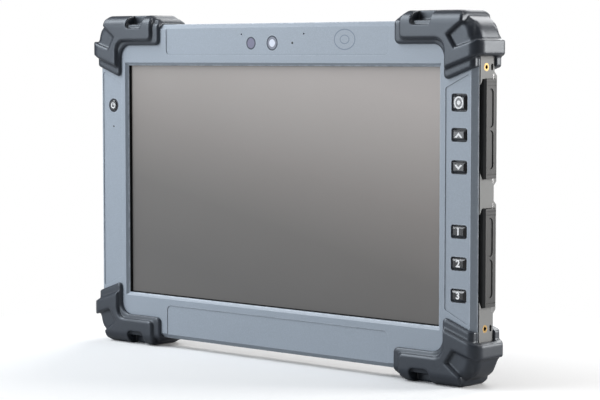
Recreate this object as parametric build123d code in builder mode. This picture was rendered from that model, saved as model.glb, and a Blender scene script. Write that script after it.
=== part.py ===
"""Rugged tablet data collector: a 10.1-inch screen in a die-cast frame with rubber corner bumpers.

Millimetres.  +X is to the right of the screen, +Z is up and the screen faces -Y.  The tablet
stands on its lower bumpers, with the origin at the middle of its foot.  Most features are drawn
on planes that count x from the middle, v down from the bezel's top edge and w back from the
bezel's face, so a feature reads the same way as it does on a drawing of the front.
"""
from build123d import *
import os

os.makedirs("parts", exist_ok=True)

# ---------------------------------------------------------------- driving dimensions
# casing outline and its layers, counted back from the bezel's face
bezel_width = 272.0
bezel_height = 177.2
corner_radius = 9.0
bezel_thickness = 2.9
bezel_edge = 2.7            # 45 degree edge round the front
seal_height = 1.1
frame_depth = 11.2
housing_depth = 3.4
housing_edge = 3.2          # 45 degree edge round the back
wall = 3.0                  # side walls of the frame
housing_wall = 1.6
fit = 0.15                  # gap round a piece that is set in a pocket
run = 0.25                  # gap round a piece that moves

# display
window_border_side = 23.4
window_border_top = 22.95
window_border_foot = 24.05
window_edge = 1.7
gasket_height = 1.5
glass_margin = 5.0
glass_thickness = 1.2
lcd_margin = 3.4
lcd_thickness = 4.0
plate_thickness = 1.2

# shallow panels pressed into the bezel's face
panel_depth = 0.35
panel_from_side = 55.2       # from the bezel's side to the end of the panels
top_panel_foot = 17.15
bottom_panel_gap = 3.4      # from the window's lower edge to the bottom panel
panel_radius = 3.0
key_panel_width = 15.3
key_panel_edge = 3.4        # from the bezel's side to the key panel
key_panel_slant = 7.2
key_panel_top = 26.0

# keys
key_from_edge = 10.2
key_pitch = 16.0
key_hole_width = 10.0
key_hole_height = 7.0
home_hole_height = 9.0
key_gap = 0.8               # from the cap to its hole, filled by the mat's collar
key_proud = 0.3
key_bevel = 1.1
key_travel = 0.5
key_flange = 0.6
key_flange_edge = 0.8       # the flange past the cap
key_stem = 2.2
play = 0.05                 # between pieces that press on each other
switch_width = 3.6
switch_button = 2.0
switch_body = 0.6           # share of a switch's height below its button
key_face = 1.6              # bezel thickness left over the keys
mat_thickness = 1.0
collar_recess = 0.9
switch_height = 0.55
board_thickness = 1.0
pocket_margin = 2.0         # from a key hole to the pocket's wall

# power button and lamps
power_from_edge = 11.7
power_v = 45.9
power_hole_r = 4.0
power_ring = 1.2
power_travel = 0.6
power_proud = 0.1
power_bevel = 0.4
power_flange_edge = 0.9     # the button's flange past its cap
power_stem_r = 1.1
power_seal_edge = 1.4       # the seal past the hole
lamp_v = 58.0
lamp_r = 0.6

# camera strip
camera_v = 10.7
camera_r = 4.1
sensor_x = 15.5
sensor_r = 3.5
camera_lamp_x = 14.5
camera_lamp_r = 0.75
mic_x = 22.7
mic_v = 5.9
mic_r = 0.55
lens_window = 0.9
strip_half = 68.0
strip_top = 3.9
strip_foot = 16.6
reader_x = 51.0
reader_width = 26.0
reader_height = 11.0
reader_thickness = 0.5

# port bays, covers and their hinges
bay_depth = 3.4
bay_wall = 1.2
liner_thickness = 0.8
cover_length = 49.2
cover_gap = 14.9            # between the two covers
cover_lift = 2.95           # the covers sit this much above the middle of the side
cover_proud = 1.5
cover_thickness = 3.2
cover_front = 6.0
cover_corner = 1.0
hinge_w = 14.4
barrel_r = 1.9
pin_r = 0.6
pin_run = 0.06
pin_hold = 2.2
bay_slant = 3.2
bulge_margin = 1.4
bulge_slant = 2.2
bulge_wall = 1.0            # frame behind the bay
hollow_width = 4.9          # finger hollows in a cover
hollow_gap = 1.4
hollow_depth = 0.5
groove_width = 0.7
groove_depth = 0.4
seal_thickness = 0.7
seal_inset = 1.6
seal_rim = 1.2

# side accessory fixings
insert_spacing = 130.0
insert_w = 8.8
insert_r = 1.95
insert_hole_r = 1.03
insert_length = 4.0
slot_w = 13.4
slot_length = 3.4
slot_width = 1.8
slot_depth = 1.8

# corner bumpers
bumper_step = 1.9           # height of each of the two steps on the front
bumper_side = 4.2
bumper_top = 5.3
bumper_rear = 2.0
pad_relief = 2.0            # how far the corner core lies under the pads
arm_reach = 50.6            # along the top and bottom edges, from the bezel's side
arm_width = 11.65
leg_width = 19.0
leg_reach = 30.0            # down the sides, from the bezel's top
leg_slant = 7.8
step_arm = 4.6              # the upper step's setbacks from the lower step
step_width = 2.55
step_leg = 1.4
step_reach = 6.0
step_edge = 0.9             # bevel along the steps' inner rims
overrun = 0.6               # how far the steps' outlines run past the rolled block
crotch_radius = 7.0
tip_radius = 2.2
arm_end_radius = 5.2
front_roll = 3.6            # the front rolls over into the top and the side
rear_edge = 2.2             # bevel around the rear
core_radius = 15.0
core_roll = 5.0
slot_from_side = 25.8
bumper_slot = 13.0
bumper_slot_foot = 2.0
bumper_slot_floor = 2.2
bumper_slot_back = 4.0
bumper_slot_radius = 2.4
top_pad_end = 6.4           # from the bezel's side to the end of the top pad
top_pad_end_v = 0.6
top_pad_radius = 4.6
chevron_nose = 15.1         # from the bezel's side to the tip of the cut between the pads
chevron_nose_v = 6.9
chevron_foot = 10.8
chevron_foot_v = 13.1
side_pad_v = 8.6
side_pad_foot = 16.6
side_pad_radius = 2.2
lip_depth = 3.2             # how far the leg folds back over the bezel's edge
flange_w = 15.4             # the rear flange starts here
flange_reach = 22.8
flange_thickness = 1.2

# electronics, battery and fixings
main_board_margin = 20.0    # from the casing's left side to the main board
main_board_top = 12.5
board_gap = 4.4             # between boards, and from the main board to the battery
board_stand = 1.0
stand_width = 4.0
stand_from_end = 4.0
stand_from_top = 7.5
stand_from_foot = 6.0
io_board_width = 27.0
io_board_margin = 24.0      # past the middle of each cover
io_board_thickness = 0.8
chip_size = 28.0
chip_height = 1.4
spreader_width = 60.0
spreader_height = 44.0
spreader_thickness = 0.8
spreader_post = 3.6
spreader_from_end = 38.0    # from the main board's right end to the processor's middle
processor_v = 52.0
card_width = 42.0
card_height = 22.0
card_from_end = 38.0
card_v = 53.0
card_thickness = 2.4
antenna_x = 44.0
antenna_length = 42.0
antenna_height = 6.4
radio_size = 18.0
radio_from_end = 66.0
radio_v = 25.0
radio_thickness = 3.6
connector_width = 24.0
connector_height = 3.2
connector_reach = 2.4       # how far the blade goes into the battery
battery_from_side = 54.0
battery_height = 72.0
battery_from_foot = 10.8
battery_corner = 2.0
battery_hollow_length = 30.0
battery_hollow_width = 8.0
battery_hollow_depth = 0.8
bay_rib = 1.2
battery_proud = 0.1
latch_length = 13.0
latch_height = 9.0
latch_thickness = 1.2
latch_travel = 4.0
latch_tongue = 2.0          # how far the tongue reaches into the battery
latch_floor = 1.6
latch_from_bay = 3.6
rear_insert_r = 2.6
rear_insert_hole_r = 1.65
rear_insert_length = 5.0
rear_insert_v = 50.0
rear_pattern_x = 38.05
rear_pattern_z = 30.17
boss_r = 3.0
screw_r = 1.2
screw_head_r = 2.2
screw_head_height = 1.0
screw_length = 6.5
arm_screw_inset = 12.0      # from the arm's end to its screw
arm_screw_v = 7.0
leg_screw_inset = 11.8
hole_sides = 8              # hidden bosses and pilot holes are eight-sided
speaker_width = 28.0
speaker_height = 15.0
speaker_from_side = 28.0
speaker_from_foot = 18.7
speaker_depth = 4.6
speaker_slot = 14.0
speaker_slot_width = 1.1
speaker_pitch = 2.4
speaker_slots = 5
rear_camera_x = -88.0
rear_camera_v = 24.0
rear_camera_r = 5.0
dock_width = 42.0
dock_height = 4.8
contact_width = 1.5
contact_pitch = 2.8
contact_rows = 2.4
contacts = 12
dock_depth = 6.4

# ---------------------------------------------------------------- levels and places
seal_front = bezel_thickness
frame_front = seal_front + seal_height
frame_rear = frame_front + frame_depth
body_rear = frame_rear + housing_depth
housing_inner = body_rear - housing_wall
glass_front = window_edge + gasket_height
lcd_front = glass_front + glass_thickness
plate_front = lcd_front + lcd_thickness
plate_rear = plate_front + plate_thickness
bumper_front = -2 * bumper_step
bumper_back = body_rear + bumper_rear
face_y = -(bumper_back + bumper_front) / 2
bezel_top = bumper_top + bezel_height
half_width = bezel_width / 2
top_panel_half = half_width - panel_from_side
middle_v = bezel_height / 2
window_width = bezel_width - 2 * window_border_side
window_height = bezel_height - window_border_top - window_border_foot
window_v = window_border_top + window_height / 2

lcd_width = window_width + 2 * lcd_margin
lcd_height = window_height + 2 * lcd_margin

key_x = half_width - key_from_edge
key_vs = [middle_v + i * key_pitch for i in (-3, -2, -1, 1, 2, 3)]
key_names = ["home_key", "up_key", "down_key", "function_key_1", "function_key_2", "function_key_3"]
key_heights = [home_hole_height] + 5 * [key_hole_height]
mat_back = key_face + mat_thickness
board_front = mat_back + key_flange + 2 * key_travel + switch_height + 0.5
board_rear = board_front + board_thickness
flange_front = mat_back + play
stem_end = board_front - switch_height - key_travel - play
power_stem_end = board_front - switch_height - power_travel - play
key_pocket_half = key_hole_width / 2 + pocket_margin
key_pocket_top = key_vs[0] - home_hole_height / 2 - pocket_margin
key_pocket_foot = key_vs[-1] + key_hole_height / 2 + pocket_margin
power_x = -half_width + power_from_edge
power_pocket_top = power_v - power_hole_r - pocket_margin
power_pocket_foot = lamp_v + lamp_r + pocket_margin

cavity_right = half_width - bay_depth - bay_wall
bay_floor = half_width - bay_depth
liner_face = bay_floor + liner_thickness
cover_face = half_width + cover_proud
cover_inner = cover_face - cover_thickness
pin_x = cover_face - barrel_r
cover_rear = hinge_w + barrel_r
bay_rear = hinge_w + barrel_r + 0.2
bulge_rear = bay_rear + bulge_wall
cover_pitch = cover_length + cover_gap
cover_vs = [middle_v - cover_lift + (i - 0.5) * cover_pitch for i in (0, 1)]
bay_half = cover_length / 2 + run
hollow_w = cover_front + cover_corner + 0.9 + hollow_width / 2
hollow_length = cover_length / 2 - hollow_gap / 2 - 4.6
groove_length = cover_rear - cover_front - cover_corner - 1.6
groove_vs = (1.4 - cover_length / 2, 3.2 - cover_length / 2, cover_length / 2 - 2.0)
bulge_half = bay_half + bulge_margin

io_front = plate_rear + 0.2
io_rear = io_front + io_board_thickness
io_left = cavity_right - io_board_width
main_front = plate_rear + board_stand
main_rear = main_front + board_thickness
battery_width = bezel_width - 2 * battery_from_side
battery_v = bezel_height - battery_from_foot - battery_height / 2
battery_inner_v = battery_v - battery_height / 2
main_board_foot = battery_inner_v - board_gap
main_left = -half_width + main_board_margin
main_right = io_left - board_gap
processor_x = main_right - spreader_from_end
antenna_v = wall + antenna_height / 2 + 1.2
speaker_x = half_width - speaker_from_side
speaker_v = bezel_height - speaker_from_foot
latch_x = battery_width / 2 + latch_from_bay + latch_length / 2 + bay_rib
latch_face = body_rear - 0.2
latch_back = latch_face - latch_thickness
latch_recess = latch_back - 0.1
latch_ledge = latch_recess - latch_floor
tongue_rear = latch_ledge - 0.15
tongue_front = tongue_rear - 1.2


# ---------------------------------------------------------------- sketch planes
def at_depth(w):
    """Front view at depth w: x to the right, v down; extruding goes back into the tablet."""
    return Plane(origin=(0, face_y + w, bezel_top), x_dir=(1, 0, 0), z_dir=(0, 1, 0))


def from_side(x):
    """Right-hand side view at x: w back, v down; extruding goes in towards the middle."""
    return Plane(origin=(x, face_y, bezel_top), x_dir=(0, 1, 0), z_dir=(-1, 0, 0))


def across(v):
    """Cross-section at v: x to the right, w back; extruding goes up."""
    return Plane(origin=(0, face_y, bezel_top - v), x_dir=(1, 0, 0), z_dir=(0, 0, 1))


def between(low_x, high_x, low_v, high_v):
    """Place a rectangle by its edges in the front view."""
    with Locations(((low_x + high_x) / 2, (low_v + high_v) / 2)):
        Rectangle(high_x - low_x, high_v - low_v)


def cut(depth):
    extrude(amount=depth, mode=Mode.SUBTRACT)


def save(builder, name):
    builder.part.label = name
    export_step(builder.part, "parts/" + name + ".step")


def casing_room():
    """The casing's whole outline with its bevelled front and back, for what wraps round it."""
    with BuildPart() as room:
        with BuildSketch(at_depth(0)):
            outline()
        extrude(amount=body_rear)
        chamfer(room.faces().sort_by(Axis.Y)[0].outer_wire().edges(), length=bezel_edge)
        chamfer(room.faces().sort_by(Axis.Y)[-1].outer_wire().edges(), length=housing_edge)
    return room.part


def outline(setback=0.0):
    with Locations((0, middle_v)):
        RectangleRounded(bezel_width - 2 * setback, bezel_height - 2 * setback, corner_radius - setback)


def window(margin=0.0):
    with Locations((0, window_v)):
        Rectangle(window_width + 2 * margin, window_height + 2 * margin)


# ---------------------------------------------------------------- front bezel
with BuildPart() as front_bezel:
    with BuildSketch(at_depth(0)):
        outline()
    extrude(amount=bezel_thickness)
    chamfer(front_bezel.faces().sort_by(Axis.Y)[0].outer_wire().edges(), length=bezel_edge)
    with BuildSketch(at_depth(0)):
        window()
    cut(bezel_thickness)
    chamfer(front_bezel.faces().sort_by(Axis.Y)[0].inner_wires()[0].edges(), length=window_edge - 0.01)
    # seat for the gasket and the glass, behind the window's lip
    with BuildSketch(at_depth(window_edge)):
        window(glass_margin + fit)
    cut(bezel_thickness)
    # shallow panels above and below the screen
    with BuildSketch(at_depth(0)):
        with Locations((0, top_panel_foot / 2 - panel_radius)):
            RectangleRounded(2 * top_panel_half, top_panel_foot + 2 * panel_radius, panel_radius)
        bottom_start = window_v + window_height / 2 + window_edge + bottom_panel_gap
        with Locations((0, (bottom_start + bezel_height) / 2 + panel_radius)):
            RectangleRounded(
                2 * top_panel_half, bezel_height - bottom_start + 2 * panel_radius, panel_radius
            )
    cut(panel_depth)
    # key panels with slanted ends, one on each side of the screen
    panel_outer = half_width - key_panel_edge
    panel_inner = panel_outer - key_panel_width
    panel_foot = bezel_height - key_panel_top
    with BuildSketch(at_depth(0)) as key_panels:
        with BuildLine():
            Polyline(
                (panel_inner, key_panel_top + key_panel_slant),
                (panel_outer, key_panel_top),
                (panel_outer, panel_foot),
                (panel_inner, panel_foot - key_panel_slant),
                close=True,
            )
        make_face()
        fillet(key_panels.vertices(), radius=1.2)
        mirror(about=Plane.YZ)
    cut(panel_depth)
    # key holes, with a small softened rim
    with BuildSketch(at_depth(0)):
        for v, height in zip(key_vs, key_heights):
            with Locations((key_x, v)):
                RectangleRounded(key_hole_width, height, 1.3)
        with Locations((power_x, power_v)):
            Circle(power_hole_r)
        with Locations((power_x, lamp_v)):
            Circle(lamp_r)
        with Locations((camera_lamp_x, camera_v)):
            Circle(camera_lamp_r)
        with Locations((-mic_x, mic_v), (mic_x, mic_v)):
            Circle(mic_r)
        with Locations((0, camera_v)):
            Circle(camera_r - 1.4)
        with Locations((-sensor_x, camera_v)):
            Circle(sensor_r - 1.4)
    cut(bezel_thickness)
    # counterbores that hold the camera and sensor windows
    with BuildSketch(at_depth(0)):
        with Locations((0, camera_v)):
            Circle(camera_r)
        with Locations((-sensor_x, camera_v)):
            Circle(sensor_r)
    cut(panel_depth + lens_window)
    # pockets behind the keys, the power button and the camera strip
    with BuildSketch(at_depth(key_face)):
        between(key_x - key_pocket_half, key_x + key_pocket_half, key_pocket_top, key_pocket_foot)
        between(power_x - key_pocket_half, power_x + key_pocket_half, power_pocket_top, power_pocket_foot)
        between(-strip_half, strip_half, strip_top, strip_foot)
    cut(bezel_thickness)
save(front_bezel, "front_bezel")

# ---------------------------------------------------------------- display stack
with BuildPart() as display_gasket:
    with BuildSketch(at_depth(window_edge)):
        window(glass_margin)
        with Locations((0, window_v)):
            Rectangle(window_width, window_height, mode=Mode.SUBTRACT)
    extrude(amount=gasket_height)
save(display_gasket, "display_gasket")

with BuildPart() as touch_glass:
    with BuildSketch(at_depth(glass_front)):
        window(glass_margin)
    extrude(amount=glass_thickness)
save(touch_glass, "touch_glass")

with BuildPart() as lcd_panel:
    with BuildSketch(at_depth(lcd_front)):
        window(lcd_margin)
    extrude(amount=lcd_thickness)
    # stepped rim of the backlight tray
    with BuildSketch(at_depth(lcd_front)):
        window(lcd_margin)
        with Locations((0, window_v)):
            Rectangle(lcd_width - 2.4, lcd_height - 2.4, mode=Mode.SUBTRACT)
    cut(0.8)
save(lcd_panel, "lcd_panel")

with BuildPart() as housing_seal:
    with BuildSketch(at_depth(seal_front)):
        outline(0.8)
        with Locations((0, middle_v)):
            RectangleRounded(
                bezel_width - 2 * wall + 0.4, bezel_height - 2 * wall + 0.4, corner_radius - wall + 0.2,
                mode=Mode.SUBTRACT,
            )
    extrude(amount=seal_height)
save(housing_seal, "housing_seal")


# ---------------------------------------------------------------- places of the fixings
def corner_places(from_side_edge, from_end):
    """The same place at all four corners, measured from the bezel's sides and ends."""
    xs = (-half_width + from_side_edge, half_width - from_side_edge)
    vs = (from_end, bezel_height - from_end)
    return [(x, v) for x in xs for v in vs]


arm_screw_places = corner_places(arm_reach - arm_screw_inset, arm_screw_v)
leg_screw_places = corner_places(leg_width / 2, leg_reach - leg_screw_inset)
bumper_screw_places = arm_screw_places + leg_screw_places
housing_screw_places = corner_places(half_width - top_panel_half + 6.0, wall + boss_r + 0.2)
housing_screw_places += [(-half_width + wall + boss_r - 0.3, middle_v)]
rear_insert_places = [
    (sx * rear_pattern_x / 2, rear_insert_v + sv * rear_pattern_z / 2) for sx in (-1, 1) for sv in (-1, 1)
]
# port name: middle along v, length along v, height off the board, depth into the tablet
ports = {
    "usb_port": (cover_vs[0] - 12.5, 13.2, 5.5, 14.0),
    "usb_c_port": (cover_vs[0] + 4.0, 9.0, 3.3, 8.0),
    "audio_jack": (cover_vs[0] + 16.5, 6.2, 5.0, 12.0),
    "hdmi_port": (cover_vs[1] - 10.5, 15.0, 5.4, 11.6),
    "power_jack": (cover_vs[1] + 12.0, 9.0, 5.4, 11.0),
}


def port_outlines(margin):
    """Openings for the port shells, in the side view."""
    for middle, length, height, depth in ports.values():
        with Locations((io_rear + height / 2, middle)):
            Rectangle(height + 2 * margin, length + 2 * margin)


def bulge_outline(middle):
    """The frame's wider stretch round one port cover, in the side view, with 45 degree ends."""
    Polygon(
        (frame_rear, middle - bulge_half - bulge_slant),
        (bulge_rear, middle - bulge_half),
        (bulge_rear, middle + bulge_half),
        (frame_rear, middle + bulge_half + bulge_slant),
        align=None,
    )


def bay_outline(middle, front=frame_front - 0.1):
    """The open bay behind one port cover, in the side view, slanted towards the bezel."""
    Polygon(
        (front, middle - bay_half + bay_slant),
        (cover_front - 0.3, middle - bay_half),
        (bay_rear, middle - bay_half),
        (bay_rear, middle + bay_half),
        (cover_front - 0.3, middle + bay_half),
        (front, middle + bay_half - bay_slant),
        align=None,
    )


# ---------------------------------------------------------------- die-cast middle frame
with BuildPart() as mid_frame:
    with BuildSketch(at_depth(frame_front)):
        outline()
    extrude(amount=frame_depth)
    for middle in cover_vs:
        with BuildSketch(from_side(half_width)):
            bulge_outline(middle)
        extrude(amount=half_width - cavity_right)
    # front pockets: display, keys, power button, camera strip
    with BuildSketch(at_depth(frame_front)):
        window(lcd_margin + fit)
    cut(plate_front - frame_front)
    with BuildSketch(at_depth(frame_front)):
        window(glass_margin + fit)
        between(key_x - key_pocket_half, key_x + key_pocket_half, key_pocket_top, key_pocket_foot)
        between(power_x - key_pocket_half, power_x + key_pocket_half, power_pocket_top, power_pocket_foot)
        between(-strip_half, strip_half, strip_top, strip_foot)
    cut(board_rear - frame_front)
    # rear cavity, with the bay wall left standing on the right
    with BuildSketch(at_depth(plate_rear)):
        between(-half_width + wall, cavity_right, wall, bezel_height - wall)
    cut(frame_rear - plate_rear)
    # port bays and the openings for the port shells
    for middle in cover_vs:
        with BuildSketch(from_side(half_width)):
            bay_outline(middle)
        cut(bay_depth)
    with BuildSketch(from_side(half_width)):
        port_outlines(fit)
    cut(half_width - cavity_right + 1.0)
    # hinge pin holes at both ends of each bay
    for middle in cover_vs:
        with BuildSketch(across(middle + bay_half + pin_hold)):
            with Locations((pin_x, hinge_w)):
                Circle(pin_r)
        cut(2 * (bay_half + pin_hold))
    # threaded insert seats and accessory slots on the right side
    with BuildSketch(from_side(half_width)):
        with Locations(*[(insert_w, window_v + s * insert_spacing / 2) for s in (-1, 1)]):
            Circle(insert_r)
    cut(insert_length)
    with BuildSketch(from_side(half_width)):
        with Locations(*[(slot_w, window_v + s * insert_spacing / 2) for s in (-1, 1)]):
            SlotOverall(slot_length, slot_width, rotation=90)
    cut(slot_depth)
    # seat for the docking contacts in the bottom wall
    with BuildSketch(across(bezel_height)):
        with Locations((0, plate_rear + 0.3 + dock_height / 2)):
            Rectangle(dock_width + 2 * fit, dock_height)
    cut(wall + 0.5)
    # screw bosses, board stands and the pilot holes
    with BuildSketch(at_depth(plate_rear)):
        with Locations(*bumper_screw_places, *housing_screw_places):
            RegularPolygon(boss_r, hole_sides)
    extrude(amount=housing_inner - plate_rear)
    with BuildSketch(at_depth(housing_inner)):
        with Locations(*bumper_screw_places, *housing_screw_places):
            RegularPolygon(screw_r, hole_sides)
    extrude(amount=-screw_length + 0.5, mode=Mode.SUBTRACT)
    stand_run = main_right - main_left - 2 * stand_from_end
    stand_xs = [main_left + stand_from_end + i * stand_run / 4 for i in range(5)]
    stand_vs = (main_board_top + stand_from_top, main_board_foot - stand_from_foot)
    with BuildSketch(at_depth(plate_rear)):
        with Locations(*[(x, v) for x in stand_xs for v in stand_vs]):
            Rectangle(stand_width, stand_width)
    extrude(amount=board_stand)
save(mid_frame, "mid_frame")

# ---------------------------------------------------------------- rear housing
with BuildPart() as rear_housing:
    with BuildSketch(at_depth(frame_rear)):
        outline()
    extrude(amount=housing_depth)
    chamfer(rear_housing.faces().sort_by(Axis.Y)[-1].outer_wire().edges(), length=housing_edge)
    with BuildSketch(at_depth(frame_rear)):
        between(-half_width + wall, cavity_right, wall, bezel_height - wall)
    cut(housing_inner - frame_rear)
    for middle in cover_vs:
        with BuildSketch(from_side(half_width)):
            bulge_outline(middle)
        cut(half_width - cavity_right)
    # ribbed bay for the battery pack, and the thicker pads that carry the latches
    bay_low = battery_v - battery_height / 2 - bay_rib
    bay_high = battery_v + battery_height / 2 + bay_rib
    bay_side = battery_width / 2 + bay_rib
    with BuildSketch(at_depth(plate_rear + 0.3)):
        between(-bay_side, bay_side, bay_low, bay_high)
    extrude(amount=housing_inner - plate_rear - 0.3)
    with BuildSketch(at_depth(latch_ledge)):
        for side in (-1, 1):
            with Locations((side * (latch_x + latch_travel / 2), battery_v)):
                Rectangle(latch_length + 2 * latch_from_bay + latch_travel + 1.0, latch_height + 5.0)
    extrude(amount=housing_inner - latch_ledge)
    with BuildSketch(at_depth(plate_rear)):
        with Locations((0, battery_v)):
            Rectangle(battery_width, battery_height)
    cut(body_rear - plate_rear)
    # latch recesses, the slots for their necks and the ways for their tongues
    for side in (-1, 1):
        with BuildSketch(at_depth(latch_recess)):
            with Locations((side * (latch_x + latch_travel / 2), battery_v)):
                Rectangle(latch_length + latch_travel + 2 * run, latch_height + 2 * run)
        cut(body_rear - latch_recess)
        with BuildSketch(at_depth(latch_ledge)):
            with Locations((side * (latch_x + latch_travel / 2), battery_v)):
                Rectangle(4.0 + latch_travel + 2 * run, 4.0 + 2 * run)
        cut(latch_floor)
        with BuildSketch(at_depth(tongue_front - 0.15)):
            with Locations((side * (battery_width / 2 + bay_rib / 2), battery_v)):
                Rectangle(bay_rib + 0.2, latch_height - 1.0 + 2 * run)
        cut(latch_ledge - tongue_front + 0.15)
    # mounting insert bosses
    with BuildSketch(at_depth(body_rear - rear_insert_length)):
        with Locations(*rear_insert_places):
            RegularPolygon(rear_insert_r + housing_wall, hole_sides)
    extrude(amount=rear_insert_length - housing_wall)
    with BuildSketch(at_depth(body_rear - rear_insert_length)):
        with Locations(*rear_insert_places):
            Circle(rear_insert_r)
    cut(rear_insert_length)
    # screw clearances, camera window seat, speaker slots
    with BuildSketch(at_depth(housing_inner)):
        with Locations(*bumper_screw_places, *housing_screw_places):
            RegularPolygon(screw_r, hole_sides)
    cut(housing_wall)
    with BuildSketch(at_depth(body_rear)):
        with Locations(*housing_screw_places):
            Circle(screw_head_r)
    cut(-screw_head_height)
    with BuildSketch(at_depth(body_rear)):
        with Locations((rear_camera_x, rear_camera_v)):
            Circle(rear_camera_r)
    cut(-lens_window - 0.2)
    with BuildSketch(at_depth(body_rear)):
        with Locations((rear_camera_x, rear_camera_v)):
            Circle(rear_camera_r - 1.5)
    cut(-housing_wall)
    with BuildSketch(at_depth(body_rear)):
        with Locations((-speaker_x, speaker_v), (speaker_x, speaker_v)):
            with GridLocations(0, speaker_pitch, 1, speaker_slots):
                Rectangle(speaker_slot, speaker_slot_width)
    cut(-housing_wall)
    # battery connector opening in the bay's upper rib
    with BuildSketch(at_depth(main_rear)):
        with Locations((0, bay_low + bay_rib / 2)):
            Rectangle(connector_width + 2 * fit, bay_rib + 0.2)
    cut(connector_height + fit)
save(rear_housing, "rear_housing")

# ---------------------------------------------------------------- corner bumpers
pad_side = half_width + bumper_side
arm_end = half_width - arm_reach
leg_inner = half_width - leg_width
core_side = pad_side - pad_relief
core_top = -bumper_top + pad_relief
upper_arm_end = arm_end + step_arm
upper_foot = arm_width - step_width
upper_leg = leg_inner + step_leg
pad_end = half_width - top_pad_end
slot_middle = half_width - slot_from_side - bumper_slot / 2
right_screws = [(x, v) for x, v in bumper_screw_places if x > 0 and v < middle_v]


def corner_of(sketch, x, v):
    """The outline's vertex nearest to a place in the front view."""
    return sketch.vertices().sort_by_distance((x, v))[0]


def rolled_block(side, top, front, corner, roll):
    """A block that reaches the side and the top, with its outer edges rolled over."""
    with BuildPart() as block:
        with BuildSketch(at_depth(front)):
            between(arm_end - 10.0, side, top, leg_reach + 10.0)
        extrude(amount=bumper_back - front)
        if corner:
            upright = block.edges().filter_by(Axis.Y)
            fillet(upright.sort_by_distance((side, face_y, bezel_top - top))[0], radius=corner)
        outer = [
            e for e in block.edges() - block.edges().filter_by(Axis.Y)
            if (e.center().X > side - corner - 0.1 or e.center().Z > bezel_top - top - corner - 0.1)
            and not (e.center().X < arm_end or e.center().Z < bezel_top - leg_reach)
        ]
        middle = face_y + (bumper_back + front) / 2
        chamfer([e for e in outer if e.center().Y > middle], length=rear_edge)
        fillet([e for e in outer if e.center().Y < middle], radius=roll)
    return block.part


# upper step and outer pads: an L set back from the lower one, with a chevron cut from its corner;
# both outlines run past the block that they are trimmed by
with BuildPart() as bumper_pads:
    with BuildSketch(at_depth(bumper_front)) as upper_step:
        with BuildLine():
            Polyline(
                (upper_arm_end, -bumper_top - overrun),
                (upper_arm_end, upper_foot),
                (upper_leg, upper_foot),
                (upper_leg, leg_reach - step_reach),
                (pad_side + overrun, side_pad_foot),
                (pad_side + overrun, side_pad_v),
                (half_width - chevron_foot, chevron_foot_v),
                (half_width - chevron_nose, chevron_nose_v),
                (pad_end, top_pad_end_v),
                (pad_end, -bumper_top - overrun),
                close=True,
            )
        make_face()
        fillet(corner_of(upper_step, upper_arm_end, -bumper_top - overrun), radius=arm_end_radius)
        fillet(corner_of(upper_step, upper_leg, upper_foot), radius=crotch_radius - step_leg)
        fillet(corner_of(upper_step, pad_side + overrun, side_pad_foot), radius=side_pad_radius)
        fillet(corner_of(upper_step, pad_side + overrun, side_pad_v), radius=side_pad_radius)
        fillet(corner_of(upper_step, pad_end, -bumper_top - overrun), radius=top_pad_radius)
    extrude(amount=bumper_back - bumper_front)
    inner_rim = [
        e for e in bumper_pads.faces().sort_by(Axis.Y)[0].edges()
        if e.center().X < pad_side - 0.1 and e.center().Z < bezel_top + bumper_top - 0.1
    ]
    chamfer(inner_rim, length=step_edge)
    add(rolled_block(pad_side, -bumper_top, bumper_front, 0, front_roll), mode=Mode.INTERSECT)

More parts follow.
